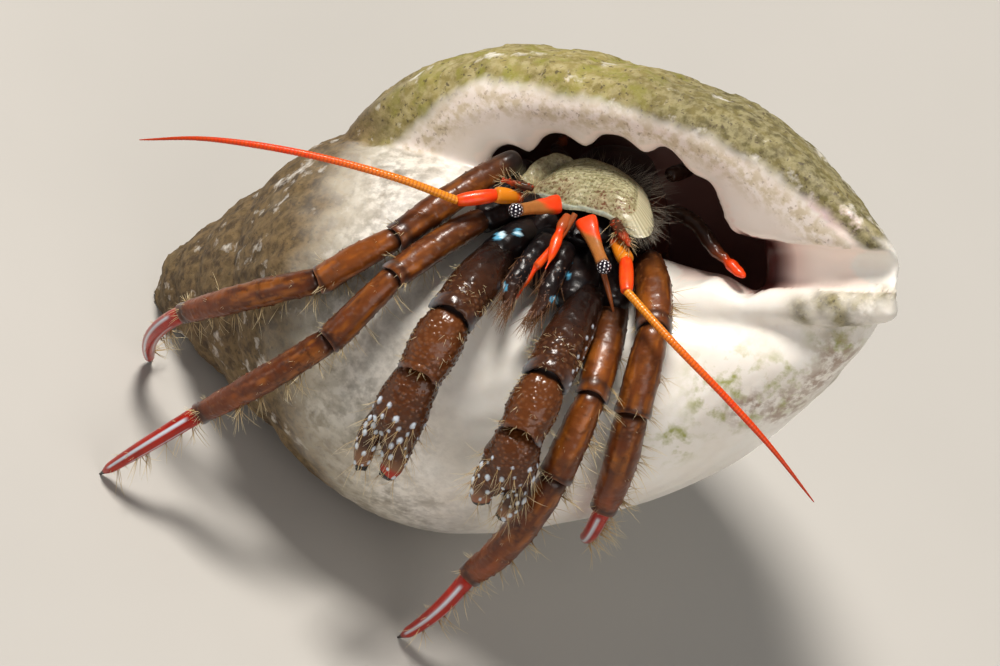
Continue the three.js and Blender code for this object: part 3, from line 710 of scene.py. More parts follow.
def tube_run(s0, s1, widths, step, last=False):
    """Distances and half widths of one hard tube between two joints. The width runs through
    start, middle and end; the first stretch is a rounded knuckle, and unless it is the last
    tube it ends in a flared rim that turns under. Third and fourth are the part's fraction
    and how much the ring belongs to soft skin."""
    length = s1 - s0
    u = np.arange(0.02, length - 0.03, step)  # clear of the joint at both ends
    f = u / length
    w = widths[0] * (1 - f) * (1 - 2 * f) + 4 * widths[1] * f * (1 - f) \
        + widths[2] * f * (2 * f - 1)
    knuckle = np.sqrt(1 - (1 - np.clip(u / 0.34, 0, 1)) ** 2)
    w = w * (0.62 + 0.38 * knuckle)
    soft = 1 - ramp(u, 0.02, 0.1)
    if not last:
        w = w * (1 + 0.07 * smooth((u - length + 0.42) / 0.36))
        edge_u = np.array([length - 0.01, length + 0.03, length + 0.055, length + 0.05,
                           length + 0.0, length - 0.08])
        edge_w = widths[2] * np.array([1.07, 1.05, 0.99, 0.90, 0.78, 0.66])
        u = np.concatenate([u, edge_u])
        w = np.concatenate([w, edge_w])
        f = np.concatenate([f, np.ones(6)])
        soft = np.concatenate([soft, [0, 0, 0, 0.3, 0.8, 1]])
    return s0 + u, w, f, soft


def studded(surface, centres, reach, lift, name="stud", stretch=None):
    """Small domes raised on a surface: at distance d (in reaches) a point rises by the lift
    times one less d squared, to the power 1.5. Stretch lengthens each dome along its own direction."""
    v, n = surface["v"], normals_of(surface)
    rise, tone = np.zeros(len(v)), np.zeros(len(v))
    for first in range(0, len(centres), 40):
        part = slice(first, first + 40)
        gap = v[:, None] - centres[None, part]
        d2 = (gap**2).sum(-1)
        if stretch is not None:
            d2 = d2 - 0.62 * np.einsum("ijk,jk->ij", gap, stretch[part]) ** 2
        bell = np.clip(1 - d2 / np.asarray(reach)[None, part] ** 2, 0, 1)
        rise = np.maximum(rise, (bell**1.5 * np.asarray(lift)[None, part]).max(1))
        tone = np.maximum(tone, np.clip(bell * 2.2, 0, 1).max(1))
    moved = {**surface, "v": v + n * rise[:, None], "marks": dict(surface["marks"])}
    moved["marks"][name] = np.maximum(tone, moved["marks"].get(name, 0))
    return moved


def pebbled(surface, picks, draw, reach, lift):
    """Studs on those points, of random reach and lift between the limits given."""
    return studded(surface, surface["v"][picks], draw.uniform(*reach, len(picks)),
                   draw.uniform(*lift, len(picks)))


print("limb helpers ready")

# %% [markdown]
# Bristles grow in small tufts from pores in the armour, most of them along the lower edges
# and round the far end of each tube. Each bristle is a thin three-sided spike that bends a
# little, joined with its neighbours into one mesh per limb. Its bake map puts it at its
# root's own place on the unrolled limb: distance along by angle round.

# %% Bristles


SIDES = 3  # of each spike
BAKE_PATCH = 0.003  # size of a bristle's own patch on the bake map


def bristles(roots, leads, lengths, thick, at, seed, bend=0.25):
    """Spikes from the roots: centre is root plus lead times length times t, plus a random
    sideways bend times t squared; the radius falls off towards the tip."""
    draw = np.random.default_rng(seed)
    count = len(roots)
    leads = unit(leads)
    sway = draw.normal(size=(count, 3))
    sway = unit(sway - (sway * leads).sum(-1, keepdims=True) * leads)
    side = unit(np.cross(leads, sway))
    t = np.array([-0.04, 0.4, 0.75, 1.0])
    lengths, thick = np.asarray(lengths)[:, None, None], np.asarray(thick)[:, None, None]
    centre = roots[:, None] + leads[:, None] * lengths * t[:, None] \
        + sway[:, None] * lengths * bend * (t[:, None] ** 2)
    slim = np.array([1.0, 0.8, 0.5, 0.12])[:, None]
    turns = 2 * np.pi * np.arange(SIDES) / SIDES
    disc = np.cos(turns)[:, None] * sway[:, None, None] + np.sin(turns)[:, None] \
        * side[:, None, None]
    v = centre[:, :, None] + disc * (thick * slim)[..., None]
    v = v.reshape(-1, 3)
    base = np.arange(count)[:, None, None] * SIDES * len(t)
    level, corner = np.arange(len(t) - 1)[:, None] * SIDES, np.arange(SIDES)[None]
    i, j = level + corner, level + (corner + 1) % SIDES
    quads = (base[..., None] + np.stack([i, j, j + SIDES, i + SIDES], -1)).reshape(-1, 4)
    ends = np.array([[0, 2, 1], [9, 10, 11]])
    tris = (base + ends[None]).reshape(-1, 3)
    patch_u = at[:, None, None, 0] + BAKE_PATCH * (np.arange(SIDES)[None, None] / SIDES - 0.33)
    patch_v = at[:, None, None, 1] + BAKE_PATCH * (t[None, :, None] - 0.5)
    shape = (count, len(t), SIDES)
    return {"v": v, "quads": quads, "tris": tris, "marks": {
        "bake_u": np.clip(np.broadcast_to(patch_u, shape), 0.001, 0.999).ravel(),
        "bake_v": np.clip(np.broadcast_to(patch_v, shape), 0.001, 0.999).ravel(),
        "tip": np.broadcast_to(t[None, :, None].clip(0), shape).ravel()}}


def bake_at(surface, picks, start=0.1, wide=0.8):
    """Bake map places of those points: far along the limb, set in a strip, by angle round."""
    marks = surface["marks"]
    return np.stack([start + wide * marks["far"][picks],
                     (marks["round"][picks] / (2 * np.pi)) % 1], -1)


def tufts_on(path, along, wide_at, angles, places, per_tuft, length, thick, forward, seed,
             up=TOWARD, cell=(0, 1)):
    """Tufts on a limb: a root at each distance and angle, its bristles fanned about a lead
    that leans out of the limb and forward along it."""
    draw = np.random.default_rng(seed)
    s = np.repeat(places, per_tuft) + draw.normal(size=len(places) * per_tuft) * 0.03
    a = np.repeat(angles, per_tuft) + draw.normal(size=len(s)) * 0.08
    tangent, side, top = frames(path, along, s, up)
    out_way = side * np.cos(a)[:, None] + top * np.sin(a)[:, None]
    roots = at_distance(path, along, s) + out_way * (wide_at(s) * 0.93)[:, None]
    leads = out_way + tangent * forward + draw.normal(size=(len(s), 3)) * 0.35
    total = along[-1]
    at = np.stack([cell[0] + (cell[1] - cell[0]) * np.clip(s / total, 0, 1),
                   (a / (2 * np.pi)) % 1.0], -1)
    size = length * draw.uniform(0.55, 1.15, len(s))
    return bristles(roots, leads, size, thick * draw.uniform(0.7, 1.1, len(s)), at, seed + 1)


print("bristle helpers ready")

# %% [markdown]
# The armour of this crab is chitin, stained red-brown and waxed by water, so it is glossy
# with a clear outer skin. It is painted near black toward the body and underneath as shade,
# painted orange along the top as light that passes through the thin edges, and is pale
# blue-grey at the hinge of each joint.

# %% Finish: limb armour, toes and bristles
CHITIN_IOR = 1.56


def cuticle(name, base, layers, roughness=0.33, grain_mm=0.09, depth_mm=0.012,
            specular=0.27, coat=0.12):
    """Waxed chitin: washes over a base, a clear wet coat and a fine leathery grain, which is
    drawn coarser than the real one so that it shows. The layers are given by a function of
    the tree and the coordinates."""
    finish, tree, place = new_finish(name)
    grain = add(tree, "ShaderNodeTexNoise", {"Vector": place, "Scale": 1000 / grain_mm,
                                             "Detail": 2.0})
    bump = add(tree, "ShaderNodeBump", {"Strength": 0.6, "Distance": depth_mm * MM,
                                        "Height": grain.outputs[0]})
    shaded(tree, {
        "Base Color": washes(tree, base, layers(tree, place)), "Normal": bump.outputs[0],
        "Roughness": roughness, "IOR": CHITIN_IOR, "Specular IOR Level": specular,
        "Coat Weight": coat, "Coat Roughness": 0.08, "Subsurface Weight": 0.06,
        "Subsurface Radius": (0.0006, 0.0002, 0.0001), "Subsurface Scale": 1.0})
    return finish


def leg_washes(tree, place):
    """Brown mottling, redder toward the toe, painted shade near the body and underneath, painted orange
    light along the top, lighter streaks on top that are partly mottling and partly painted light, pale
    studs and hinges.
    """
    cloud = patches(tree, place, 1.1, 0.38, 0.62)
    dark = patches(tree, place, 0.5, 0.52, 0.68)
    return [
        (cloud, 0.6, "#6B3210"), ("streak", 0.8, "#96571B"), (dark, 0.7, "#2B1107"),
        ("red", "#7C340F"), ("glow", "#AE601E"), ("edge", "#1D0C07"), ("shade", "#160D0A"),
        ("soft", "#3B2A24"), ("ember", "#F2440E"), ("hinge", 0.85, "#85898C"),
        ("stud", 0.6, "#8E5C36")]


leg_armour = cuticle("waxed_brown_chitin", "#52280E", leg_washes)


def toe_washes(tree, place):
    """Scarlet with a porcelain-blue stripe down the length and a black horny claw."""
    cloud = patches(tree, place, 0.6, 0.4, 0.62)
    return [
        (cloud, 0.6, "#821407"), ("glow", "#B92C0E"), ("stripe", "#CBD2DC"), ("soft", "#5A1C14"),
        ("claw", "#14100F")]


toe_armour = cuticle("waxed_scarlet_chitin", "#A81C04", toe_washes, roughness=0.28)


def bristle_finish(name, root, tip):
    """Chitin drawn out to a hair: clear gold, darker at the root, with a soft shine."""
    finish, tree, _ = new_finish(name)
    shaded(tree, {"Base Color": washes(tree, root, [("tip", tip)]), "Roughness": 0.4,
                 "IOR": CHITIN_IOR})
    return finish


gold_bristle = bristle_finish("golden_bristle", "#A57F42", "#F2E3B8")
grey_bristle = bristle_finish("grey_bristle", "#6A6256", "#ADA595")
print("limb finishes ready")

# %% [markdown]
# Four walking legs show. Each is built from its joints: thigh, wrist, shin and toe. The
# thigh starts out of sight under the shield. The toe is a piece of its own because its
# colour and gloss differ. Three of the toes come down to the table, and the fourth curls
# round the shell.

# %% Places of the walking legs
# Per leg: how much painted shade it gets near the body, how much painted orange light along its top, and
# for one leg painted light on the top of its wrist.
LEGS = {
    "right_third": {
        "joints": [[-2.9, 1.9, 17.8], [-5.7, -3.5, 15.7], [-7.5, -4.9, 12.9],
                   [-11.9, -4.4, 6.7], [-12.2, -1.63, 0.33]],
        "bows": [[0, 0, 0.3], [-0.1, -0.2, 0.1], [-0.3, -0.5, 0.2], [-0.6, -0.5, 0.2]],
        "shade": 0.35, "glow": 0.25, "stripe": 1.15, "amber": 0.6},
    "right_second": {
        "joints": [[-2.7, -0.9, 17.0], [-5.0, -5.1, 15.3], [-6.0, -7.0, 12.2],
                   [-9.3, -8.2, 5.8], [-11.8, -8.93, 0.33]],
        "bows": [[0, 0, 0.3], [0, -0.2, 0.1], [0, -0.5, 0.2], [-0.1, -0.5, 0.3]],
        "shade": 0.6, "glow": 0.3, "stripe": 1.35},
    "left_second": {
        "joints": [[3.5, -1.3, 16.7], [4.6, -6.2, 15.9], [4.9, -7.9, 12.6],
                   [3.8, -8.7, 5.7], [2.4, -8.83, 0.33]],
        "bows": [[0, 0, 0.3], [0, -0.2, 0.1], [0.3, -0.5, 0], [0.2, -0.4, 0.1]],
        "shade": 0.85, "glow": 0.45, "stripe": 1.5, "stout": 1.17},
    "left_third": {
        "joints": [[3.9, 0.6, 17.6], [5.5, -3.05, 17.95], [6.4, -5.3, 15.4],
                   [7.3, -6.2, 10.6], [7.2, -3.6, 5.9]],
        "bows": [[0, 0, 0.3], [0, -0.2, 0.2], [0.1, -0.4, 0.2], [0.1, -0.5, -0.3]],
        "shade": 0.75, "glow": 0.35, "stripe": 1.5, "stout": 1.24},
}
TUBE_WIDTHS = [[0.46, 0.62, 0.58], [0.50, 0.60, 0.60], [0.54, 0.58, 0.44], [0.37, 0.33, 0.18]]
LEG_NODES = ["merus", "carpus", "propodus"]
print("walking legs:", ", ".join(LEGS))

# %% Tubes, toe and bristles of a leg


def limb_surface(path, along, marks, widths, around, step, depth=1.12, up=TOWARD):
    """All the hard tubes of a limb as one surface, with marks for part, soft skin and
    hinge: hinges are the two pale side knobs at the far rim of each tube. The rim is drawn
    out at both sides and notched above and below, by the cosine of twice the angle."""
    runs = [tube_run(marks[k], marks[k + 1], w, step) for k, w in enumerate(widths)]
    s, w, f, soft = (np.concatenate([r[k] for r in runs]) for k in range(4))
    part = np.concatenate([np.full(len(r[0]), k) for k, r in enumerate(runs)])
    rings, angle = ring_set(path, along, s, w, w * depth, around, up)
    lobe = 0.17 * np.cos(2 * angle)[None] * (w * ramp(f, 0.75, 0.25))[:, None]
    rings = rings + frames(path, along, s, up)[0][:, None] * lobe[..., None]
    tap = np.abs(np.cos(angle))[None] ** 6 * ramp(f[:, None], 0.92, 0.05)
    surface = tube(rings, soft=soft, part=part, far=f, hinge=tap * (1 - soft[:, None]),
                   round=np.broadcast_to(angle, rings.shape[:2]),
                   along=s)
    return surface, (s, w)


def leg_pieces(name, leg, seed):
    """The armoured part of a leg, its toe and its bristles."""
    path, along, marks = limb_path(leg["joints"], leg["bows"])
    widths = np.array(TUBE_WIDTHS) * np.array([leg.get("stout", 1.0)] * 3 + [1.0])[:, None]
    surface, (s, w) = limb_surface(path, along, marks, widths[:3], 44, 0.055)
    draw = np.random.default_rng(seed)
    v, m = surface["v"], surface["marks"]
    part, far = m["part"], m["far"]
    m["red"] = ramp(part + far, 2.35, 0.5) * 0.9
    # Painted shade: dark near the body, by each leg's own amount, and on the underside.
    near_body = 1 - ramp(part + far, 0.05, 0.35)
    m["shade"] = np.maximum(leg["shade"] * (1 - ramp(part + far, 0.15, 0.9)), near_body)
    m["shade"] = np.maximum(m["shade"],
                            0.75 * np.clip(0.25 - np.sin(m["round"] + 0.3), 0, 1) ** 1.5)
    unrolled = np.stack([m["along"] * 0.16, 0.5 * np.cos(m["round"]),
                         0.5 * np.sin(m["round"])], -1)
    # Lighter streaks on the upper side: partly mottling and partly painted light.
    upper = np.clip(np.sin(m["round"]) + 0.5, 0, 1)
    m["streak"] = ramp(blotches(unrolled, 0.14, seed + 50), 0.45, 0.3) * upper
    m["red"] *= 0.4 + 0.6 * m["streak"]
    # Painted light: orange along the upper ridge, and on the upper side of the wrist.
    ridge = np.clip(np.sin(m["round"]), 0, 1) ** 3
    m["glow"] = leg["glow"] * ridge * smooth(2.2 - part - far) * (0.6 + 0.8 * m["streak"])
    amber = leg.get("amber", 0) * (part == 1) * upper
    m["glow"] = np.maximum(m["glow"], amber * (0.5 + 0.5 * m["streak"]))
    m["edge"] = 0.75 * np.maximum(bump_at(far, 0.955, 0.035), bump_at(far, 0.02, 0.05))
    studs = draw.choice(len(v) - 2, 420, replace=False)
    studs = studs[(m["soft"][studs] < 0.05) & (far[studs] > 0.08) & (far[studs] < 0.97)]
    surface = pebbled(surface, studs, draw, (0.045, 0.085), (0.02, 0.055))
    surface["marks"]["stud"] *= 0.55
    wave = blotches(surface["v"], 0.8, seed) + 0.6 * blotches(surface["v"], 0.35, seed + 3) - 0.8
    surface["v"] += normals_of(surface) * (wave * 0.10 * (1 - m["soft"]))[:, None]
    nodes = [f"leg_{name}_{part_name}" for part_name in LEG_NODES]
    make_piece(f"leg_{name}", surface, leg_armour, nodes)

    s0, s1 = marks[3], along[-1]
    u, w_toe, f_toe, soft_toe = tube_run(s0, s1, TUBE_WIDTHS[3], 0.045, last=True)
    claw_from = s1 - 1.1
    w_toe = w_toe * (1 - 0.8 * smooth((u - claw_from) / 1.1))
    rings, angle = ring_set(path, along, u, w_toe, w_toe * 1.08, 36)
    off = (angle[None] - leg["stripe"] + np.pi) % (2 * np.pi) - np.pi
    band = (smooth((0.22 - np.abs(off)) / 0.1) * ramp(f_toe[:, None], 0.07, 0.05)
            * smooth((0.86 - f_toe[:, None]) / 0.06))
    second = (smooth((0.10 - np.abs(np.abs(off) - 1.15)) / 0.08)
              * ramp(f_toe[:, None], 0.1, 0.05) * smooth((0.7 - f_toe[:, None]) / 0.1))
    toe = tube(rings, soft=soft_toe, stripe=np.maximum(band, 0.8 * second),
               claw=ramp(u - claw_from, 0.5, 0.15),
               glow=0.4 * smooth((u - s1 + 2.2) / 1.2) * (1 - smooth((u - claw_from) / 0.1)))
    make_piece(f"toe_{name}", toe, toe_armour, [f"leg_{name}_dactyl"])

    wide_at = lambda d: np.interp(d, np.concatenate([s, u]), np.concatenate([w, w_toe]))
    pores = np.sort(draw.uniform(marks[1] * 0.55, claw_from, 52))
    lower = tufts_on(path, along, wide_at, np.pi + 0.3 + draw.normal(size=52) * 0.55, pores, 3,
                     1.15, 0.019, 0.5, seed + 10)
    ends = np.concatenate([marks[k] - draw.uniform(0.1, 0.5, 7) for k in (1, 2, 3)])
    rim = tufts_on(path, along, wide_at, draw.uniform(0, 2 * np.pi, len(ends)), ends, 3, 0.6,
                   0.016, 0.9, seed + 20)
    more = np.sort(draw.uniform(marks[1], s1 - 0.9, 44))
    short = tufts_on(path, along, wide_at, draw.uniform(0, 2 * np.pi, 44), more, 2, 0.3,
                     0.012, 0.7, seed + 30)
    make_piece(f"bristles_leg_{name}", joined([lower, rim, short]), gold_bristle)


for k, (name, leg) in enumerate(LEGS.items()):
    leg_pieces(name, leg, 100 + 7 * k)

# %% [markdown]
# The two claw legs hang in front. Thigh and wrist are tubes like those of the legs, only
# stouter. The hand swells from the wrist and runs out into a fixed finger, and a second
# finger shuts against it. Hand and fingers are set with oval blue-white warts, each with
# bristles before it, so the warts are raised in the surface and marked for their colour.

# %% Claw finish


def claw_washes(tree, place):
    """Blackish brown with painted shade near the body, painted orange-brown light on the upper side of
    the swellings, painted blue glints, blue-white warts, black tips.
    """
    cloud = patches(tree, place, 0.9, 0.38, 0.62)
    dark = patches(tree, place, 0.45, 0.5, 0.66)
    return [
        (cloud, 0.7, "#4E2A12"), (dark, 0.7, "#1C0D07"), ("glow", "#7A4118"), ("shade", "#170D0A"),
        ("pale", "#94694A"), ("red", "#A8200F"), ("soft", "#2A211F"), ("hinge", 0.9, "#8E979E"),
        ("stud", 0.15, "#9A6A44"), ("wart", 0.95, "#C9D3DE"), ("blue", "#7FC4E6"),
        ("claw", "#0F0D0D")]


claw_armour = cuticle("waxed_umber_chitin", "#381C0C", claw_washes, roughness=0.24)
print("claw finish ready")

# %% Places of the claws
CLAWS = {
    # Each claw lists the places of painted blue glints near its shoulder.
    "right": {"joints": [[-1.6, -2.1, 16.9], [-2.1, -6.3, 16.1], [-2.1, -8.1, 14.0]],
              "tip": [-1.9, -9.7, 9.2], "spread": [-1, 0, 0],
              "blue": [[-1.1, -3.3, 16.3], [-1.0, -4.1, 16.15]]},
    "left": {"joints": [[2.5, -2.3, 17.3], [2.6, -7.3, 16.5], [2.75, -9.0, 14.7]],
             "tip": [3.3, -9.9, 10.8], "spread": [1, 0, 0],
             "blue": [[1.5, -3.6, 16.7], [1.45, -4.3, 16.6]]},
}
CLAW_FACE = unit([0, -0.8, 0.6])  # the way the broad side of both hands faces
print("claws:", ", ".join(CLAWS))

# %% Rounded bodies, warts and waves


def ring_body(stations, rows, around, up, close, square=2.3):
    """A closed body from stations of centre, half width and half thickness, eased through
    them all, with both ends rounded over the closing length."""
    table = np.array([[*np.asarray(c, float), a, b] for c, a, b in stations])
    dense = through(table, 200)
    along = distances(dense[:, :3])
    total = along[-1]
    s = total * (1 - np.cos(np.pi * np.linspace(0, 1, rows))) / 2 * 0.35 \
        + total * np.linspace(0, 1, rows) * 0.65
    ends = np.minimum(s, total - s) / close
    shape = np.sqrt(np.clip(1 - (1 - np.clip(ends, 0, 1)) ** 2, 0.0016, 1))
    a = np.interp(s, along, dense[:, 3]) * shape
    b = np.interp(s, along, dense[:, 4]) * shape
    rings, angle = ring_set(dense[:, :3], along, s, a, b, around, up, square)
    return tube(rings, along=s, far=s / total, round=np.broadcast_to(angle, rings.shape[:2]))


def scattered(surface, wanted, gap, draw, score):
    """Point numbers spread over a surface: the best scoring of random picks, kept when no
    kept one is nearer than the gap."""
    v = surface["v"]
    picks = draw.permutation(len(v) - 2)[:3500]
    picks = picks[np.argsort(-score[picks] - 0.35 * draw.random(len(picks)))]
    kept = np.zeros(0, int)
    for pick in picks:
        if score[pick] > 0.05 and (len(kept) == 0 or
                                   np.linalg.norm(v[kept] - v[pick], axis=1).min() > gap):
            kept = np.append(kept, pick)
        if len(kept) >= wanted:
            break
    return kept


def warted(surface, wanted, gap, draw, score, axis, size):
    """Oval warts set over a surface, longer along the limb's axis, marked for colour. Their
    height is 9/13 of their reach. The second value is the point under each."""
    kept = scattered(surface, wanted, gap, draw, score)
    centres = surface["v"][kept]
    grow = draw.uniform(*size, len(kept))
    run = np.repeat(unit(axis)[None], len(kept), 0)
    return studded(surface, centres, grow, grow * 0.09 / 0.13, "wart", run), kept


def roughened(surface, seed, amount, size=0.7):
    """Low waves over a surface, as cast chitin has."""
    wave = blotches(surface["v"], size, seed) - 0.5
    surface["v"] = surface["v"] + normals_of(surface) * (wave * amount)[:, None]
    return surface


print("helpers for bodies and warts ready")

# %% Claw legs


def claw_leg(side, claw, seed):
    """Arm, hand, moving finger and bristles of one claw leg."""
    draw = np.random.default_rng(seed)
    shoulder, elbow, wrist = (np.array(j, float) for j in claw["joints"])
    tip, across = np.array(claw["tip"], float), unit(claw["spread"])
    path, along, marks = limb_path(claw["joints"], [[0, 0, 0]] * 2)
    arm, (s, w) = limb_surface(path, along, marks, [[0.6, 1.0, 0.98], [0.82, 1.08, 0.9]],
                               110, 0.04, depth=1.05, up=CLAW_FACE)
    m = arm["marks"]
    # Painted shade near the body, and painted orange light along the upper side.
    m["shade"] = 1 - ramp(m["part"] + m["far"], 0.15, 0.7)
    m["glow"] = smooth(m["part"] - 0.2) * 0.55 * np.clip(np.sin(m["round"]), 0, 1)
    studs = scattered(arm, 190, 0.19, draw, (m["soft"] < 0.02) * np.clip(m["part"] + m["far"]
                      - 0.35, 0, 1) * np.clip(np.sin(m["round"]) + 0.5, 0, 1))
    arm = pebbled(arm, studs, draw, (0.05, 0.13), (0.02, 0.07))
    if side == "left":  # a wavy row of nine pale warts shows on this arm
        waves = [0, 0.35, -0.1, 0.2, 0.4, 0, 0.3, 0.1, 0.3]
        row = [np.argmin(np.abs(m["part"] + m["far"] - f) + np.abs(m["round"] - 2.39 - t))
               for f, t in zip(np.linspace(0.42, 0.98, 9), waves)]
        arm = studded(arm, arm["v"][row], np.full(9, 0.08), np.full(9, 0.04), "wart",
                      np.repeat(unit(elbow - shoulder)[None], 9, 0))
        arm["marks"]["wart"] *= 0.7
    arm = roughened(arm, seed, 0.12, 0.9)
    arm = roughened(arm, seed + 1, 0.06, 0.35)
    # Painted blue glints near the shoulder.
    arm["marks"]["blue"] = smooth((0.2 - np.linalg.norm(
        arm["v"][:, None] - np.array(claw["blue"])[None], axis=-1).min(1)) / 0.1)
    make_piece(f"cheliped_{side}_arm", arm, claw_armour,
               [f"cheliped_{side}_merus", f"cheliped_{side}_carpus"])

    main = tip - wrist
    long, axis = np.linalg.norm(main), unit(main)
    at = lambda t, out: wrist + axis * t * long + across * out
    hand = ring_body([
        (at(-0.05, 0), 0.66, 0.6), (at(0.06, 0), 0.94, 0.84), (at(0.22, 0.03), 1.08, 0.94),
        (at(0.40, -0.02), 1.2, 0.94), (at(0.54, -0.30), 0.92, 0.8),
        (at(0.8, -0.66), 0.54, 0.56), (at(0.93, -0.62), 0.42, 0.42),
        (at(1.0, -0.52), 0.24, 0.24)], 190, 150, CLAW_FACE, close=0.22)
    m = hand["marks"]
    front = np.clip(np.sin(m["round"]) * 0.7 + 0.45 + 0.4 * np.abs(np.cos(m["round"])), 0, 1)
    hand, kept = warted(hand, 34, 0.44, draw, front * (0.35 + 0.65 * smooth(m["far"] / 0.7)),
                        axis, size=(0.05, 0.14))
    grains = scattered(hand, 190, 0.17, draw, front * (m["far"] < 0.8))
    hand = pebbled(hand, grains, draw, (0.05, 0.11), (0.02, 0.07))
    hand = roughened(hand, seed + 3, 0.16, 0.9)
    hand = roughened(hand, seed + 4, 0.07, 0.35)
    far, redness = m["far"], 0.9 if side == "right" else 0.15
    hand["marks"]["wart"] *= ramp(far, 0.08, 0.2) * (far < 0.95)
    # Painted light on the upper side of the hand, fading toward the tip.
    hand["marks"].update(
        claw=ramp(far, 0.93, 0.012), pale=0.7 * ramp(far, 0.72, 0.15),
        red=redness * ramp(far, 0.84, 0.05) * (1 - ramp(far, 0.93, 0.04)),
        glow=0.4 * np.clip(np.sin(m["round"]), 0, 1) * (1 - far))
    make_piece(f"cheliped_{side}_hand", hand, claw_armour,
               [f"cheliped_{side}_palm"])

    finger = ring_body([
        (at(0.47, 0.52), 0.36, 0.46), (at(0.56, 0.66), 0.5, 0.58), (at(0.75, 0.72), 0.5, 0.54),
        (at(0.93, 0.56), 0.4, 0.42), (at(1.04, 0.40), 0.22, 0.24)], 130, 100, CLAW_FACE,
        close=0.2)
    m = finger["marks"]
    front = np.clip(np.sin(m["round"]) * 0.7 + 0.6, 0, 1)
    finger, kept_f = warted(finger, 18, 0.3, draw, front, axis, size=(0.05, 0.13))
    finger = roughened(finger, seed + 5, 0.05)
    finger["marks"].update(claw=ramp(m["far"], 0.87, 0.02), pale=0.7 * ramp(m["far"], 0.5, 0.25))
    make_piece(f"cheliped_{side}_moving_finger", finger, claw_armour,
               [f"cheliped_{side}_finger"])

    tufts = []
    for k, (body, picks) in enumerate(((hand, kept), (finger, kept_f))):
        n = normals_of(body)[picks]
        roots = np.repeat(body["v"][picks] + axis * 0.05, 3, 0)
        leads = np.repeat(n * 0.7 + axis * 0.9, 3, 0) + draw.normal(size=(len(roots), 3)) * 0.3
        at_uv = bake_at(body, picks, 0.05 + 0.45 * k, 0.4)
        tufts.append(bristles(roots, leads, draw.uniform(0.4, 1.3, len(roots)),
                              draw.uniform(0.007, 0.012, len(roots)), np.repeat(at_uv, 3, 0),
                              seed + 40 + k))
    wide_at = lambda d: np.interp(d, s, w)
    places = draw.uniform(marks[1] * 0.5, marks[2], 60)
    tufts.append(tufts_on(path, along, wide_at, draw.uniform(0, 2 * np.pi, 60), places, 3,
                          0.55, 0.013, 0.8, seed + 60, up=CLAW_FACE, cell=(0.92, 0.99)))
    make_piece(f"bristles_cheliped_{side}", joined(tufts), gold_bristle)


claw_leg("right", CLAWS["right"], 301)
claw_leg("left", CLAWS["left"], 333)

# %% [markdown]
# The shield is the hard plate over head and chest. On the real animal it is a shallow dome
# with a raised front edge, a small point between the eyes, and pale ribbed flaps down its
# sides. Its edge is drawn as a distance for each angle round the middle, and rings run from
# the middle of the underside out to that edge and back over the top, where they rise as a
# dome. A small plate is added at its right side, over the roots of the legs.

# %% Body frame
FORWARD = unit([0.024, -0.981, 0.192])
DORSAL = unit([-0.479, 0.118, 0.87])
RIGHT = np.cross(FORWARD, DORSAL)
SHIELD_CENTRE = np.array([0.39, 2.3, 18.35])


def on_shield(right, forward, dorsal):
    """Drawing point of those distances from the middle of the shield."""
    step = np.stack(np.broadcast_arrays(right, forward, dorsal), -1)
    return SHIELD_CENTRE + step @ np.stack([RIGHT, FORWARD, DORSAL])


print("right of the animal:", RIGHT.round(3))

# %% Edge of the shield
TURNED = np.radians(23)  # the head is turned this far to the animal's right
AHEAD = np.cos(TURNED) * FORWARD + np.sin(TURNED) * RIGHT
ASIDE = np.cos(TURNED) * RIGHT - np.sin(TURNED) * FORWARD
PLATE_CENTRE = np.array([-0.4, 0.1])  # to the right and ahead of the body frame's middle
PLATE_EDGE = [  # to the right and ahead of that, mm, round the plate from its front point
    [0.4, 2.02], [1.0, 1.78], [1.9, 1.72], [2.5, 1.85], [2.85, 1.5], [2.95, 0.6], [3.1, -0.4],
    [3.0, -1.2], [2.3, -1.75], [1.2, -1.85], [0.3, -1.75], [-0.8, -1.35], [-1.8, -0.8],
    [-2.7, 0.0], [-3.25, 0.7], [-3.45, 1.35], [-2.9, 1.78], [-1.8, 1.66], [-0.4, 1.74]]


def on_plate(right, ahead, dorsal):
    """Drawing point of those distances along the turned axes of the plate."""
    step = np.stack(np.broadcast_arrays(right + PLATE_CENTRE[0], ahead + PLATE_CENTRE[1],
                                        dorsal), -1)
    return SHIELD_CENTRE + step @ np.stack([ASIDE, AHEAD, DORSAL])


COLUMNS = 260  # points round the shield
loop = np.vstack([PLATE_EDGE, PLATE_EDGE[:1]])
# Two points more at each end, cut off again, make the loop close smoothly.
loop = through(np.vstack([loop[-3:-1], loop, loop[1:3]]), 24 * 20 + 1)[2 * 21:-2 * 21]
turns = np.unwrap(np.arctan2(loop[:, 1], loop[:, 0]))
order = np.argsort(turns)
around_turn = -np.pi + 2 * np.pi * (np.arange(COLUMNS) + 0.5) / COLUMNS
edge_reach = np.interp(around_turn, *np.stack([turns, np.hypot(*loop.T)])[:, order],
                       period=2 * np.pi)
weights = np.hanning(9)[1:-1] / np.hanning(9)[1:-1].sum()
edge_reach = np.convolve(np.concatenate([edge_reach[-3:], edge_reach, edge_reach[:3]]),
                         weights, "valid")
print("reach of the shield's edge:", edge_reach.min().round(2), "to", edge_reach.max().round(2))

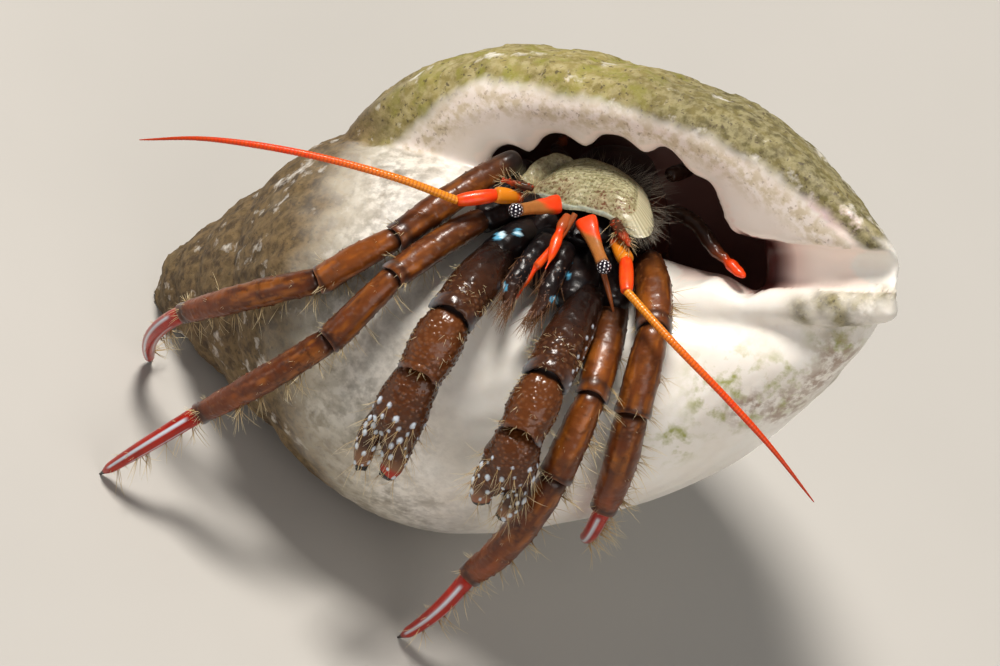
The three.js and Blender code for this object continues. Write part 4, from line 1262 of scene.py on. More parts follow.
# %% Dome, rim and flaps of the shield
below = np.linspace(0.03, 0.97, 16)
share = np.concatenate([below, [0.99, 1.0, 0.995], np.sin(np.linspace(1.5, 0.02, 100))])
is_top = (np.arange(len(share)) > 17)[:, None]
reach = share[:, None] * edge_reach
x, y = reach * np.cos(around_turn), reach * np.sin(around_turn)
across = x / 3.0
flank_drop = 0.55 * ramp(-across, 0.45, 0.7) + 0.30 * ramp(across, 0.5, 0.6)
z = np.where(is_top, -0.22 + 0.84 * (1 - share[:, None] ** 2.6),
             -0.22 - 0.16 * (1 - share[:, None] ** 2)) - flank_drop
ahead_turn = np.degrees(np.abs((around_turn - np.pi / 2 + np.pi) % (2 * np.pi) - np.pi))
rim = is_top * bump_at(share[:, None], 0.955, 0.035) * smooth((62 - ahead_turn) / 14)
lateral = (np.degrees(around_turn) % 360)[None]
flap_from = 0.80 - 0.10 * bump_at(lateral, 165, 25)
flap = smooth((share[:, None] - flap_from) / 0.05) * ramp(lateral, 146, 10) \
    * smooth((268 - lateral) / 22) * is_top
ribs = 0.5 + 0.5 * np.cos(np.radians(lateral) * 3.1 * 2 * np.pi / 0.17)
side_groove = is_top * bump_at(share[:, None], flap_from, 0.02) * ramp(lateral, 150, 10) \
    * smooth((268 - lateral) / 22)
neck_groove = is_top * bump_at(y, -0.55 - 0.4 * across**2, 0.10) * smooth((0.62 - np.abs(
    across)) / 0.2)
z = z + 0.06 * rim - 0.07 * side_groove - 0.05 * neck_groove
shield = tube(on_plate(x, y, z), flap=flap, rib=flap * ribs, rim=rim)
v, n, m = shield["v"], normals_of(shield), shield["marks"]
top = np.clip(n @ DORSAL, 0, 1)
line_angle = np.radians(-18)
sweep = (v @ ASIDE) * np.sin(line_angle) + (v @ AHEAD) * np.cos(line_angle)
scratch = np.sin(2 * np.pi * (sweep / 0.21 + 1.5 * mottle(v, 0.42, 71)))
pebble = blotches(v, 0.2, 73) - 0.5
shield["v"] = v + n * (top * (1 - m["flap"]) * (0.014 * scratch + 0.06 * pebble)
                       + 0.04 * (m["rib"] - 0.5) * m["flap"])[:, None]
m["scratch"] = np.clip(scratch * 0.5 + 0.5, 0, 1)
m["rust"] = patch(v, on_plate(np.array([2.2, -1.1, 0.9, -2.2]), np.array([1.2, 1.2, 1.3, 1.1]),
                              0.2), 0.6)
print("shield points:", len(v))

# %% Flank plate
flank_plate = ring_body([
    ([-0.6, 3.28, 17.6], 0.4, 0.1), ([-1.3, 3.12, 17.25], 0.58, 0.14),
    ([-1.68, 2.66, 16.95], 0.6, 0.15), ([-1.83, 1.9, 16.87], 0.52, 0.14),
    ([-1.76, 1.2, 16.95], 0.36, 0.12)],
    60, 64, TOWARD, square=2.2, close=0.3)
flank_plate = roughened(flank_plate, 79, 0.22, 0.5)
# On this plate the reddish-brown stain is painted shade.
flank_plate["marks"] = {"flap": np.full(len(flank_plate["v"]), 0.35),
                        "rib": 0.1 * blotches(flank_plate["v"], 0.5, 80),
                        "rust": 0.9 * blotches(flank_plate["v"], 0.6, 81)}
shield = joined([shield, flank_plate])
print("points with the flank plate:", len(shield["v"]))


# %% Finish: horn shield
def shield_washes(tree, place):
    """Olive-grey horn with cream and brown flecks, reddish-brown stains that on the flank plate are
    painted shade, a blue-grey rim and whitish flaps.
    """
    fleck = patches(tree, place, 0.16, 0.46, 0.58, detail=2.0)
    dark_fleck = patches(tree, place, 0.13, 0.54, 0.64, detail=2.0)
    cloud = patches(tree, place, 1.2, 0.4, 0.6)
    return [
        (cloud, 0.8, "#928D6A"), ("scratch", 0.45, "#B4AE8B"), (fleck, 0.6, "#BFB998"),
        (dark_fleck, 0.75, "#57492C"), ("rust", dark_fleck, "#5C2A1E"), ("rust", 0.3, "#8A6444"),
        ("rim", 0.75, "#A9B5A8"), ("flap", "#8E8769"), ("rib", "#C6BE9F")]


horn = cuticle("wet_olive_horn", "#7C7852", shield_washes, roughness=0.42, grain_mm=0.07,
               depth_mm=0.02)
make_piece("shield", shield, horn, ["shield"])

# %% [markdown]
# Fine hair grows from under the edge of the shield, longest at its left side, where it
# fans out against the dark of the shell's mouth. A denser grey fuzz fills the corner by
# the left feeler.

# %% Hair of the shield


def hair_fan(count, turn_from, turn_to, length, thick, seed, lift=0.25, inward=0.0):
    """Hairs rooted round the edge between two angles, leading outwards and up by the lift."""
    pick = np.random.default_rng(seed)
    turns = pick.uniform(turn_from, turn_to, count)
    reach = 1 - inward * pick.random(count)
    out_to = 0.97 * reach * np.interp(turns, around_turn, edge_reach, period=2 * np.pi)
    right, ahead = np.cos(turns) * out_to, np.sin(turns) * out_to
    drop = 0.55 * ramp(-right / 3, 0.45, 0.7)
    roots = on_plate(right, ahead, pick.uniform(-0.4, -0.1, count) - drop)
    leads = (np.cos(turns)[:, None] * ASIDE + np.sin(turns)[:, None] * AHEAD
             + lift * DORSAL + pick.normal(size=(count, 3)) * 0.28)
    at = np.stack([0.5 + 0.45 * np.cos(turns) * reach, 0.5 + 0.45 * np.sin(turns) * reach], -1)
    return bristles(roots, leads, length * pick.uniform(0.4, 1.1, count),
                    thick * pick.uniform(0.7, 1.1, count), at, seed + 1, bend=0.18)


shield_hair = joined([
    hair_fan(110, np.radians(165), np.radians(250), 1.4, 0.007, 511),
    hair_fan(60, np.radians(250), np.radians(330), 1.0, 0.007, 521),
    hair_fan(330, np.radians(138), np.radians(176), 0.75, 0.0065, 531, lift=-0.35, inward=0.15),
    hair_fan(170, np.radians(-20), np.radians(62), 0.9, 0.0085, 541, lift=0.1)])
make_piece("shield_hair", shield_hair, grey_bristle)

# %% [markdown]
# The eyes stand on jointed stalks, brown like dark horn and lit orange-red at their knobbed
# root. The eye is a black ball with rows of white oval dots, worked out on the ball's own
# turns and rises. The clear skin over it is left out as a shape, because it hid the dots, and
# sheen stands for the pale ring that it shows.

# %% Eyestalks
EYES = {"right": {"base": [-0.65, -0.6, 18.95], "eye": [-1.9, -2.5, 19.5]},
        "left": {"base": [1.0, -0.75, 19.05], "eye": [2.45, -2.6, 19.2]}}
EYE_RADIUS = 0.3


def stalk_washes(tree, place):
    """Horn brown with an orange-red root, painted shade on the underside and a dark ring under the eye.
    """
    cloud = patches(tree, place, 0.5, 0.4, 0.6)
    return [(cloud, 0.5, "#8E5A2A"), ("low", "#6E4420"), ("glow", "#F2400E"), ("neck", "#5A3A24")]


stalk_horn = cuticle("amber_stalk_horn", "#A9682E", stalk_washes, roughness=0.34,
                     grain_mm=0.06, depth_mm=0.004)
for side, eye in EYES.items():
    base, centre = np.array(eye["base"]), np.array(eye["eye"])
    axis = unit(centre - base)
    length = np.linalg.norm(centre - base)
    at = lambda t, lift=0.0: base + axis * t * length + TOWARD * lift
    wide = 0.46 if side == "left" else 0.40
    stalk = ring_body([(at(-0.1, 0.0), wide * 1.02, 0.3), (at(0.0, 0.03), wide, 0.34),
                       (at(0.14, 0.03), wide * 0.86, 0.33), (at(0.36, 0.01), 0.32, 0.29),
                       (at(0.6), 0.272, 0.26), (at(0.8), 0.262, 0.26), (at(0.95), 0.28, 0.27)],
                      70, 56, TOWARD, square=2.8, close=0.04)
    stalk = roughened(stalk, 66, 0.03, 0.3)
    m = stalk["marks"]
    outer = 0.5 + 0.5 * np.cos(m["round"] - np.radians(20 if side == "right" else 160))
    m["glow"] = 1 - smooth((m["far"] - 0.02 - 0.40 * outer
                            - 0.10 * (blotches(stalk["v"], 0.3, 61) - 0.5)) / 0.22)
    m["neck"] = 0.8 * ramp(m["far"], 0.93, 0.05)
    # Painted shade on the underside of the stalk.
    m["low"] = 0.8 * np.clip(-np.sin(m["round"]), 0, 1)
    make_piece(f"eyestalk_{side}", stalk, stalk_horn, [f"eyestalk_{side}"])
print("stalks made")


# %% Eyes
def dotted_ball(centre, radius, pole):
    """A ball of rings about a pole, marked white at oval dots: every 36 degrees round and
    29 degrees up, each second column half a step higher."""
    column_step, row_step = np.radians(36), np.radians(29)
    pole = unit(pole)
    side = unit(np.cross(pole, TOWARD))
    front = np.cross(side, pole)
    rise = np.linspace(-np.pi / 2 + 0.02, np.pi / 2 - 0.02, 90)
    turns = 2 * np.pi * np.arange(180) / 180
    rings = centre + radius * (
        np.cos(rise)[:, None, None] * (np.cos(turns)[:, None] * front
                                       + np.sin(turns)[:, None] * side)
        + np.sin(rise)[:, None, None] * pole)
    column = np.round(turns / column_step)
    to_column = (turns - column * column_step)[None] * np.cos(rise)[:, None]
    up = rise[:, None] / row_step + (column % 2) * 0.5
    to_row = (up - np.round(up)) * row_step
    dot = (to_column / np.radians(6.8)) ** 2 + (to_row / np.radians(7.4)) ** 2
    seen = smooth((np.radians(72) - np.abs(rise))[:, None] / np.radians(6))
    return tube(rings, dot=smooth((1.2 - dot) / 0.4) * seen)


eye_black, tree, place = new_finish("black_facetted_cornea")
shaded(tree, {
    "Base Color": washes(tree, "#120D16", [(patches(tree, place, 0.05, 0.45, 0.6), "#1E1626"),
                                           ("dot", "#F2F0F4")]),
    "Roughness": 0.18, "IOR": 1.45, "Sheen Weight": 0.35, "Sheen Roughness": 0.3,
    "Sheen Tint": linear("#E8DCD2")})
for side, eye in EYES.items():
    pole = unit([-0.42, 0.55, 0.72]) if side == "right" else unit([-0.30, 0.75, 0.6])
    ball = dotted_ball(np.array(eye["eye"]), EYE_RADIUS, pole)
    make_piece(f"eye_{side}", ball, eye_black, [f"eye_{side}"])
print("eyes made")

# %% [markdown]
# In front of the shield, between and beside the stalks, lie small dark plates. Their
# near-black colour is partly their own and partly painted shade under the head. Their blue
# spots are painted glints, each marked electric blue, and some get a nearly white middle as
# a painted highlight.

# %% Finish: dark mouth armour and feelers


def mouth_washes(tree, place):
    """Blue-black to dark brown, partly painted shade, with painted electric-blue glints, painted white
    highlights and browner tips.
    """
    cloud = patches(tree, place, 0.8, 0.42, 0.62)
    return [(cloud, 0.6, "#221612"), ("warm", "#4A2B1A"),
            ("glow", "#B4401C"), ("blue", "#5AA9CC"),
            ("shine", "#D9F3FA")]


# The near-black base is partly the animal's own colour and partly painted shade of the hollow under the
# head.
mouth_armour = cuticle("blue_black_chitin_and_shade", "#0C090B", mouth_washes, roughness=0.3,
                       specular=0.22, coat=0.03)


def feeler_washes(tree, place):
    """Orange that reddens toward the tip, with brown and dark joints."""
    cloud = patches(tree, place, 0.35, 0.4, 0.62)
    return [(cloud, 0.5, "#E0600E"), ("gold", "#E08C1C"),
            ("red", "#B03003"), ("brown", "#7A4A24"),
            ("ring", "#9A3810"), ("pale", "#D8C4A2")]


feeler_chitin = cuticle("scarlet_feeler_chitin", "#E83A08", feeler_washes, roughness=0.3,
                        grain_mm=0.05, depth_mm=0.005)


print("mouth and feeler finishes ready")


def spots(surface, places, reach, name="blue"):
    """Mark round spots of painted glint about those points, on the side that faces up and
    forward. The gap is taken square to that direction, so each spot lies on whatever skin
    is there."""
    gap = surface["v"][:, None] - np.array(places, float)[None]
    gap = np.linalg.norm(gap - (gap @ TOWARD)[..., None] * TOWARD, axis=-1)
    gap = gap + 9 * (normals_of(surface) @ TOWARD < 0.1)[:, None]
    uneven = 0.35 * (blotches(surface["v"], 0.16, 77)[:, None] - 0.5)
    found = smooth((np.asarray(reach)[None] - gap + uneven) / 0.05).max(1)
    surface["marks"][name] = np.maximum(found, surface["marks"].get(name, 0))
    return surface


def limb_bit(stations, rows, around, close=0.15, up=TOWARD):
    """A small body from stations of centre, half width and half thickness, nearly round."""
    return ring_body(stations, rows, around, up, close, square=2.15)


# %% Brow plates, mouth field and limb roots
BROW = [  # rows and columns; to the right, forward, up, half width, half thickness
    ((30, 32), [(0.30, 2.35, -0.35, 0.2, 0.12), (0.34, 2.85, -0.42, 0.26, 0.14),
                (0.30, 3.35, -0.5, 0.16, 0.1)]),
    ((30, 32), [(-0.34, 2.35, -0.4, 0.2, 0.12), (-0.40, 2.8, -0.46, 0.26, 0.14),
                (-0.36, 3.2, -0.55, 0.16, 0.1)]),
    ((36, 40), [(0.0, 2.2, -0.7, 0.5, 0.3), (0.0, 2.8, -0.9, 0.6, 0.35), (0.0, 3.3, -1.1, 0.4, 0.3)]),
    ((36, 40), [(1.2, 2.0, -0.5, 0.5, 0.3), (1.5, 2.4, -0.6, 0.5, 0.35), (1.9, 2.9, -0.8, 0.3, 0.25)]),
    ((36, 40), [(-1.3, 2.0, -0.5, 0.5, 0.3), (-1.7, 2.3, -0.6, 0.5, 0.35),
                (-2.0, 2.9, -0.7, 0.3, 0.25)])]
ROOTS = [  # centre, half width and half thickness, from the limb inward
    [([-1.85, -3.1, 16.7], 0.72, 0.8), ([-1.2, -1.5, 16.9], 0.85, 0.8), ([-0.4, 0.2, 16.5], 0.8, 0.8)],
    [([2.05, -3.4, 16.9], 0.72, 0.8), ([1.75, -1.7, 17.1], 0.85, 0.8), ([1.2, 0.2, 16.7], 0.8, 0.8)],
    [([0.2, -3.0, 16.5], 0.9, 0.45), ([0.35, -1.9, 16.9], 1.35, 0.7), ([0.4, -0.3, 17.1], 1.5, 0.8)],
    [([-3.1, -1.6, 16.9], 0.6, 0.62), ([-2.3, -0.3, 17.1], 0.66, 0.66), ([-1.0, 0.8, 16.9], 0.7, 0.7)],
    [([-3.1, 1.6, 17.4], 0.5, 0.5), ([-2.3, 3.3, 16.0], 0.5, 0.5), ([-1.2, 3.8, 15.5], 0.6, 0.6)],
    [([3.65, -2.6, 17.15], 0.58, 0.62), ([3.2, -1.0, 17.3], 0.66, 0.66), ([2.0, 0.6, 17.2], 0.7, 0.7)],
    [([4.15, -0.2, 17.6], 0.55, 0.6), ([3.3, 0.9, 17.5], 0.62, 0.62), ([2.2, 1.6, 17.3], 0.7, 0.7)],
    [([-3.5, -0.25, 17.0], 0.36, 0.36), ([-2.8, 0.1, 17.55], 0.34, 0.34), ([-1.9, 0.55, 18.1], 0.3, 0.3)]]
brow = joined([limb_bit([(on_shield(*line[:3]), *line[3:]) for line in lines], *grid)
               for grid, lines in BROW])
# Painted blue glints on the brow plates, two with a painted white highlight.
brow = spots(brow, [[-0.31, -0.72, 19.29], [0.45, -0.53, 19.48], [0.6, -0.3, 19.71]],
             [0.1, 0.11, 0.09])
brow = spots(brow, [[0.45, -0.53, 19.48], [-0.31, -0.72, 19.29]], [0.05, 0.04], "shine")
make_piece("brow_plates", brow, mouth_armour)

roots = joined([limb_bit(stations, 44, 40, close=0.4) for stations in ROOTS])
roots = roughened(roughened(roots, 611, 0.12, 0.8), 612, 0.1, 0.35)
# Painted blue glints on the limb roots, three with a painted white highlight.
roots = spots(roots, [[-2.0, -2.11, 17.33], [-1.36, -1.76, 17.68], [1.25, -2.18, 17.26],
                      [1.37, -2.95, 16.5], [1.12, -1.77, 17.68]], [0.2, 0.17, 0.15, 0.17, 0.09])
roots = spots(roots, [[-1.95, -2.05, 17.4], [-1.33, -1.78, 17.66], [1.35, -2.97, 16.48]],
              [0.13, 0.10, 0.08], "shine")
make_piece("limb_roots", roots, mouth_armour)
print("brow and roots made")

# %% [markdown]
# The third jaw feet hang over the mouth like two small blue-black legs with browner ends.
# Each carries a brush of thin brown bristles with which the crab sweeps food, and a blue
# spot that is a painted glint.

# %% Jaw feet
JAW_FEET = {
    "right": [([-0.1, -1.2, 17.55], 0.5, 0.5), ([-0.3, -2.2, 17.6], 0.46, 0.46),
              ([-0.45, -3.4, 17.45], 0.4, 0.36), ([-0.5, -4.2, 17.1], 0.33, 0.3),
              ([-0.2, -4.9, 16.6], 0.2, 0.18)],
    "left": [([0.65, -1.2, 17.7], 0.5, 0.5), ([0.75, -2.1, 17.75], 0.46, 0.46),
             ([0.85, -3.3, 17.6], 0.4, 0.36), ([0.95, -4.1, 17.2], 0.33, 0.3),
             ([0.8, -4.8, 16.7], 0.2, 0.18)]}
brushes = []
for k, (side, stations) in enumerate(JAW_FEET.items()):
    foot = roughened(limb_bit(stations, 90, 60), 620 + k, 0.12, 0.35)
    m = foot["marks"]
    m["warm"] = 0.8 * ramp(m["far"], 0.6, 0.4)
    # A painted blue glint with a painted white highlight.
    painted_glint_at = [[-0.88, -3.57, 16.3]] if side == "right" else [[1.37, -2.95, 16.5]]
    foot = spots(foot, painted_glint_at, [0.24])
    foot = spots(foot, painted_glint_at, [0.12], "shine")
    make_piece(f"jaw_foot_{side}", foot, mouth_armour, [f"maxilliped_{side}"])
    pick = np.random.default_rng(640 + k)
    count = 220
    chosen = pick.choice(np.flatnonzero(m["far"][:-2] > 0.35), count)
    leads = np.array([0.05, -0.55, -0.85]) + pick.normal(size=(count, 3)) * 0.22
    brushes.append(bristles(foot["v"][chosen], leads, pick.uniform(0.5, 1.3, count),
                            pick.uniform(0.012, 0.02, count), bake_at(foot, chosen), 650 + k,
                            bend=0.12))
brush_bristle = bristle_finish("brown_brush_bristle", "#5A3620", "#A87A4E")
make_piece("jaw_brush", joined(brushes), brush_bristle)
print("jaw feet made")

# %% [markdown]
# Two pairs of feelers. The inner, short pair tests the water: the right one is orange with
# a pale pointed end, and the left one is brown. The outer pair are whips: a stout scarlet
# base of two lengths, then a lash of many tiny rings that runs out to a point. The rings are
# a wave in the radius along the lash, and the dark seams between them are a mark.

# %% Inner feelers
INNER = {
    "right": [([0.33, -0.74, 19.27], 0.13, 0.13), ([0.32, -1.42, 18.87], 0.12, 0.12),
              ([0.18, -2.23, 18.34], 0.15, 0.14), ([0.01, -3.01, 17.85], 0.18, 0.16),
              ([-0.05, -3.17, 17.69], 0.13, 0.13), ([-0.14, -3.54, 17.32], 0.2, 0.18),
              ([-0.18, -3.79, 16.93], 0.15, 0.14), ([-0.1, -3.99, 16.45], 0.07, 0.07),
              ([0.05, -4.15, 15.86], 0.02, 0.02)],
    "left": [([1.24, -0.57, 18.59], 0.14, 0.14), ([1.96, -1.55, 18.59], 0.13, 0.13),
             ([2.66, -2.37, 18.48], 0.12, 0.12), ([3.2, -2.7, 18.02], 0.1, 0.1),
             ([3.69, -2.87, 17.43], 0.05, 0.05)]}
for side, stations in INNER.items():
    feeler = limb_bit(stations, 110, 28, close=0.04)
    m = feeler["marks"]
    if side == "right":
        m["brown"] = 0.9 * (1 - ramp(m["far"], 0.12, 0.25))
        m["pale"] = ramp(m["far"], 0.83, 0.06)
        m["ring"] = bump_at(m["far"], 0.545, 0.012)
    else:
        m["brown"] = 0.9 + 0 * m["far"]
    make_piece(f"antennule_{side}", feeler, feeler_chitin, [f"antennule_{side}"])
lobe = limb_bit([([0.12, -0.8, 18.95], 0.2, 0.2), ([0.1, -1.4, 18.95], 0.24, 0.22),
                 ([0.13, -1.75, 18.85], 0.17, 0.17), ([0.2, -2.2, 18.75], 0.24, 0.2),
                 ([0.3, -2.8, 18.55], 0.17, 0.15), ([0.35, -3.15, 18.42], 0.05, 0.05),
                 ([0.36, -3.5, 18.3], 0.02, 0.02)], 80, 32, close=0.03)
lobe["marks"]["brown"] = 0.75 * (1 - ramp(lobe["marks"]["far"], 0.25, 0.1))
make_piece("antennule_lobe", lobe, feeler_chitin)

# %% Outer feelers
OUTER = {
    "right": {"base": [[-2.0, -0.6, 18.4], [-2.9, -1.3, 18.55], [-4.2, -2.3, 18.15]],
              "scale": [[-1.78, -0.45, 19.05], [-2.89, -0.68, 18.9]],
              "whip": [[-4.2, -2.3, 18.15], [-7.1, -3.1, 18.3], [-10.9, -3.9, 17.7],
                       [-14.5, -4.5, 16.4], [-17.0, -5.0, 14.9]]},
    "left": {"base": [[2.35, -0.6, 18.8], [3.1, -1.6, 19.2], [3.75, -3.3, 19.3]],
             "scale": [[1.95, -0.15, 19.35], [2.85, -1.25, 19.75]],
             "whip": [[3.75, -3.3, 19.3], [6.4, -4.6, 19.3], [9.4, -5.2, 18.6],
                      [12.1, -5.5, 17.6], [14.8, -5.8, 16.3]]}}
RING_SPACING = 0.16  # mm from seam to seam at the thick end of a lash


def between(a, b, t):
    """Point at that share of the way from a to b."""
    return np.array(a) * (1 - t) + np.array(b) * t


def lash(points):
    """A ringed lash: it slims gently from 0.185 mm, pinched at each seam, and runs out to a
    point over the last 0.36 of its length."""
    line = through(points, 900)
    along = distances(line)
    total = along[-1]
    rows = int(total / RING_SPACING * 6)
    s = np.linspace(0, total, rows)
    far = s / total
    phase = s / RING_SPACING
    pinch = bump_at(phase - np.round(phase), 0, 0.17)
    radius = 0.185 * (1 - 0.32 * far) * (1 - 0.06 * pinch) * (
        0.12 + 0.88 * np.clip((1 - far) / 0.36, 0, 1) ** 0.6)
    rings, _ = ring_set(line, along, s, radius, radius, 14, square=2.0)
    return tube(rings, ring=pinch * 0.55, gold=1 - ramp(far, 0.04, 0.5),
                red=ramp(far, 0.5, 0.5))


for k, (side, feeler) in enumerate(OUTER.items()):
    a, b, c = feeler["base"]
    first = limb_bit([(between(a, b, -0.1), 0.2, 0.2), (between(a, b, 0.2), 0.27, 0.26),
                      (between(a, b, 0.6), 0.34, 0.31), (between(a, b, 0.92), 0.35, 0.32),
                      (between(a, b, 1.08), 0.3, 0.28)], 50, 36, close=0.07)
    first["marks"]["gold"] = 0.85 * ramp(first["marks"]["far"], 0.1, 0.3)
    first["marks"]["brown"] = 0.8 * (1 - smooth(first["marks"]["far"] / 0.25))
    second = limb_bit([(between(b, c, -0.02), 0.22, 0.22), (between(b, c, 0.12), 0.28, 0.28),
                       (between(b, c, 0.4) + 0.05 * TOWARD, 0.31, 0.29),
                       (between(b, c, 0.75) + 0.04 * TOWARD, 0.3, 0.27),
                       (between(b, c, 0.97), 0.25, 0.24), (between(b, c, 1.04), 0.2, 0.2)],
                      70, 36, close=0.07)
    seam = second["marks"]["far"]
    second["marks"]["ring"] = np.maximum(1 - ramp(seam, 0.02, 0.03),
                                         0.5 * ramp(seam, 0.97, 0.03))
    make_piece(f"antenna_base_{side}", joined([first, second]), feeler_chitin,
               [f"antenna_base_{side}"])
    make_piece(f"antenna_lash_{side}", lash(feeler["whip"]), feeler_chitin,
               [f"antenna_whip_{side}_near", f"antenna_whip_{side}_far"])
    p, q = feeler["scale"]
    slim = 0.5 if side == "right" else 0.75
    blade = limb_bit([(between(p, q, -0.1), 0.3 * slim, 0.2), (between(p, q, 0.35), 0.33 * slim, 0.2),
                      (between(p, q, 0.75), 0.22 * slim, 0.16), (between(p, q, 1.1), 0.06, 0.06)],
                     44, 36, close=0.1)
    pick = np.random.default_rng(720 + k)
    thorns = pick.choice(len(blade["v"]) - 2, 26, replace=False)
    blade = pebbled(blade, thorns, pick, (0.05, 0.09), (0.04, 0.09))
    blade["marks"]["glow"] = np.maximum(0.5 * blade["marks"].pop("stud"),
                                        0.8 * ramp(blade["marks"]["far"], 0.5, 0.3))
    blade["marks"]["warm"] = 0.9 + 0 * blade["marks"]["far"]
    make_piece(f"antenna_scale_{side}", blade, mouth_armour,
               [f"antenna_scale_{side}"])
    hairy = pick.choice(len(blade["v"]) - 2, 60)
    leads = normals_of(blade)[hairy] * 0.7 + unit(np.array(q) - np.array(p)) * 0.6
    make_piece(f"bristles_scale_{side}", bristles(
        blade["v"][hairy], leads, pick.uniform(0.3, 0.8, 60), pick.uniform(0.008, 0.014, 60),
        bake_at(blade, hairy), 730 + k), gold_bristle)
print("feelers made")

# %% [markdown]
# Behind the shield the body is soft and fits the coil of the shell. It is one skin from the
# head to the tail: rings carried along a line that runs back under the shield and then
# round the axis of the shell.

# %% Soft body


def in_shell(turn, radius, height):
    """Point at that turn back from the lip, distance from the axis, height below the apex."""
    way = 2 * np.pi * turn - LEAN
    return APEX + np.array([radius * np.cos(way), radius * np.sin(way), height]) @ SHELL_AXES


def skin_washes(tree, place):
    """Dusky flesh with rust freckles; painted shade under the shield."""
    cloud = patches(tree, place, 1.6, 0.4, 0.62)
    freckle = patches(tree, place, 0.3, 0.55, 0.66)
    return [(cloud, 0.7, "#5E3328"), (freckle, 0.6, "#A86A48"),
            ("shade", "#1E1413")]


soft_hide = cuticle("soft_dusky_hide", "#4A2A24", skin_washes, roughness=0.45, grain_mm=0.12,
                    depth_mm=0.02)
body_stations = [
    (on_shield(0.1, 2.75, -1.3), 0.35, 0.9), (on_shield(0.1, 1.9, -1.35), 0.7, 1.45),
    (on_shield(0.1, 0.8, -1.5), 0.76, 1.9), (on_shield(0.1, -0.4, -1.6), 0.78, 2.15),
    (on_shield(0.05, -1.8, -1.5), 0.9, 2.0), (on_shield(0, -3.2, -1.25), 1.05, 1.8),
    (in_shell(0.13, 4.9, -22.2), 1.65, 1.65), (in_shell(0.183, 5.05, -21.8), 1.7, 1.6),
    (in_shell(0.25, 5.15, -21.2), 1.7, 1.65), (in_shell(0.33, 5.3, -20.4), 1.65, 1.65),
    (in_shell(0.41, 5.3, -19.8), 1.6, 1.6), (in_shell(0.5, 5.1, -19.05), 1.3, 1.3),
    (in_shell(0.57, 4.95, -18.3), 1.0, 1.0), (in_shell(0.62, 4.75, -17.8), 0.7, 0.75),
    (in_shell(0.66, 4.6, -17.4), 0.5, 0.7), (in_shell(0.69, 4.5, -17.0), 0.3, 0.42)]
body = ring_body(body_stations, 260, 72, SHELL_Z, square=2.1, close=0.3)
# Painted shade on the front of the body, under the shield.
body["marks"]["shade"] = 1 - ramp(body["marks"]["far"], 0.2, 0.12)
creases = np.cos(2 * np.pi * body["marks"]["along"] / 0.55) ** 8
body["v"] -= normals_of(body) * (0.05 * creases * ramp(body["marks"]["far"], 0.3, 0.1))[
    :, None]
body = roughened(body, 801, 0.1, 1.2)
make_piece("soft_body", body, soft_hide,
           ["thorax", "carapace_rear", "abdomen_front", "abdomen_middle", "abdomen_rear",
            "tail_fan"])
print("soft body made")

# %% [markdown]
# The last two pairs of legs are small and stay in the shell, where they brace the crab.
# The tip of one shows in the mouth of the shell, orange-red.

# %% Bracing legs
BRACING = {
    "right_fourth": [on_shield(2.1, -2.7, -0.9), on_shield(2.3, -3.1, -0.9),
                     on_shield(2.7, -4.0, -0.9), on_shield(2.5, -4.9, -0.7)],
    "left_fourth": [[3.6, 3.0, 18.4], [4.8, 2.6, 18.9], [6.1, 1.6, 19.1], [7.8, 0.72, 19.35]],
    "right_fifth": [on_shield(1.1, -3.1, 0.1), on_shield(1.0, -3.5, 0.2),
                    on_shield(0.7, -4.3, 0.35), on_shield(0.1, -5.0, 0.2)],
    "left_fifth": [on_shield(-2.5, -2.5, -0.9), on_shield(-2.75, -2.9, -1.0),
                   on_shield(-3.3, -3.9, -1.2), on_shield(-3.3, -4.9, -1.4)]}
for k, (name, line) in enumerate(BRACING.items()):
    leg = limb_bit([(line[0], 0.28, 0.28), (line[1], 0.33, 0.33), (line[2], 0.27, 0.26),
                    (between(line[2], line[3], 0.4), 0.17, 0.17),
                    (between(line[2], line[3], 0.58), 0.23, 0.23), (line[3], 0.14, 0.14)], 80, 36,
                   up=DORSAL)
    leg = roughened(leg, 860 + k, 0.14, 0.35)
    m = leg["marks"]
    m["red"] = (0.8 if name == "left_fourth" else 0.15) * ramp(m["far"], 0.3, 0.4)
    # Painted shade: inside the shell the legs are dark, all but the tips.
    m["shade"] = 0.9 * (1 - ramp(m["far"], 0.55, 0.2))
    m["ember"] = ramp(m["far"], 0.72, 0.1) * (1.0 if name == "left_fourth" else 0.05)
    m["streak"] = 0.5 * blotches(leg["v"], 0.4, 900 + k)
    make_piece(f"leg_{name}", leg, leg_armour, [f"leg_{name}"])
print("bracing legs made")

# %% [markdown]
# The model stands on a plain pale table under a soft lamp over the camera, with a wide fill
# from the camera's own side and a faint lamp at the left, so that the lip throws its own
# shade into the shell's mouth. The camera looks down at 45 degrees, rolled by 29 degrees,
# through a long lens.

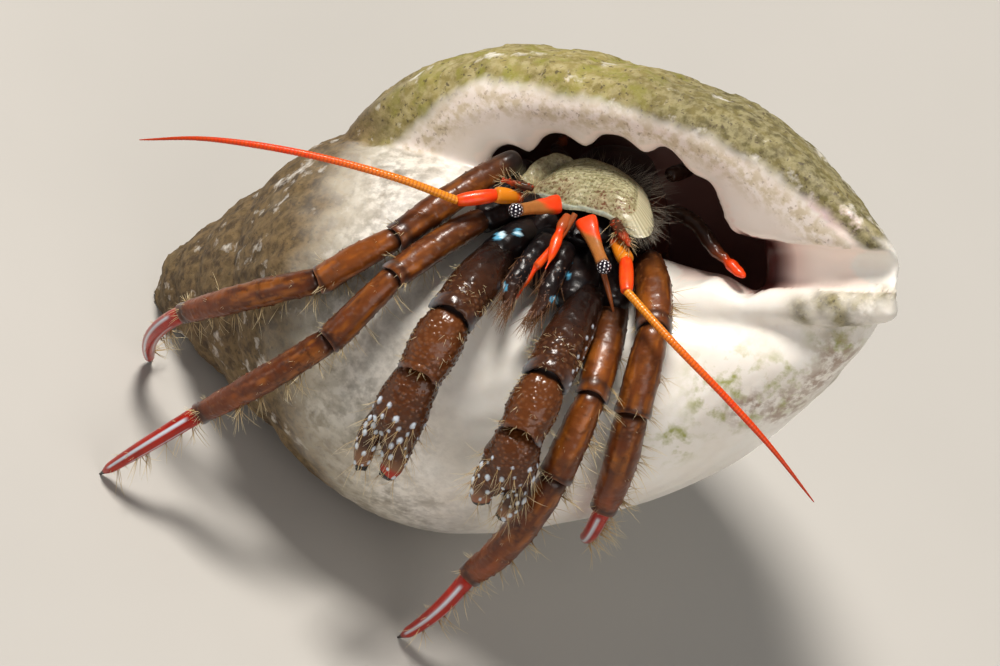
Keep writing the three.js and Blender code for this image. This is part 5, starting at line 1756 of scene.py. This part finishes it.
# %% Table and lamps
FRAME_MM = 1000 / 24  # width of the view at the object, mm
ROLL = np.radians(29)
RIGHT_OF_VIEW = np.array([np.cos(ROLL), np.sin(ROLL) * 0.70711, np.sin(ROLL) * 0.70711])
UP_OF_VIEW = np.cross(TOWARD, RIGHT_OF_VIEW)
table_mesh = bpy.data.meshes.new("table")
table_mesh.from_pydata([(x * 2, y * 2, 0) for x, y in ((-1, -1), (1, -1), (1, 1), (-1, 1))],
                       [], [(0, 1, 2, 3)])
table = placed("table", table_mesh)
table_paint, tree, place = new_finish("pale_table_paint")
tone = patches(tree, place, 40, 0.3, 0.7)  # matt paint, a very little uneven
shaded(tree, {"Base Color": washes(tree, "#BDBAB4", [(tone, "#B7B4AE")]), "Roughness": 0.7})
table_mesh.materials.append(table_paint)


def stand(thing, x, y, z, at):
    """Turns a lamp or camera to those axes, at that place in metres."""
    thing.matrix_world = Matrix(np.vstack([np.column_stack([x, y, z, at]), [0, 0, 0, 1]]).tolist())


def lamp(name, direction, distance, size, power, colour):
    """A square soft lamp that far out along the direction, facing the middle of the model.
    Distance and size are in metres, power in watts."""
    middle = (np.array([1, 0, 13]) + TO_FRAME) * MM
    at = middle + unit(direction) * distance
    light = bpy.data.lights.new(name, "AREA")
    light.size, light.energy = size, power
    light.color = linear(colour)[:3]
    z = unit(at - middle)
    x = unit(np.cross([0.3, 1, 0.2], z))
    stand(placed(name, light), x, np.cross(z, x), z, at)


lamp("key", 1.0 * UP_OF_VIEW + 0.15 * RIGHT_OF_VIEW + 0.75 * TOWARD, 0.35, 0.085, 1.55, "#FFF9F2")
lamp("fill", 0.35 * RIGHT_OF_VIEW + 1.0 * TOWARD - 0.4 * UP_OF_VIEW, 0.5, 0.3, 0.72, "#FFF6F0")
lamp("side", -1.0 * RIGHT_OF_VIEW + 0.5 * TOWARD, 0.45, 0.2, 0.22, "#FFFFFF")
world = bpy.data.worlds.new("soft_room")
bpy.context.scene.world = world
world.use_nodes = True
world.node_tree.nodes["Background"].inputs[0].default_value = linear("#E4E7EA")
world.node_tree.nodes["Background"].inputs[1].default_value = 0.24
bpy.context.scene.view_settings.view_transform = "Standard"
print("lamps:", len(bpy.data.lights))


# %% Camera
SENSOR = 36  # width of the sensor, mm
REACH = 1200.0  # from the camera to the middle depth of the model, mm
lens = bpy.data.cameras.new("view")
view = placed("view", lens)
aim = np.array([0, 0, 10.25]) + 3.0 * TOWARD + TO_FRAME
lens.sensor_width = SENSOR
lens.lens = SENSOR * REACH / FRAME_MM
lens.clip_start, lens.clip_end = 0.05, 10
stand(view, RIGHT_OF_VIEW, UP_OF_VIEW, TOWARD, (aim + REACH * TOWARD) * MM)
bpy.context.scene.camera = view
print("lens:", round(lens.lens), "mm")
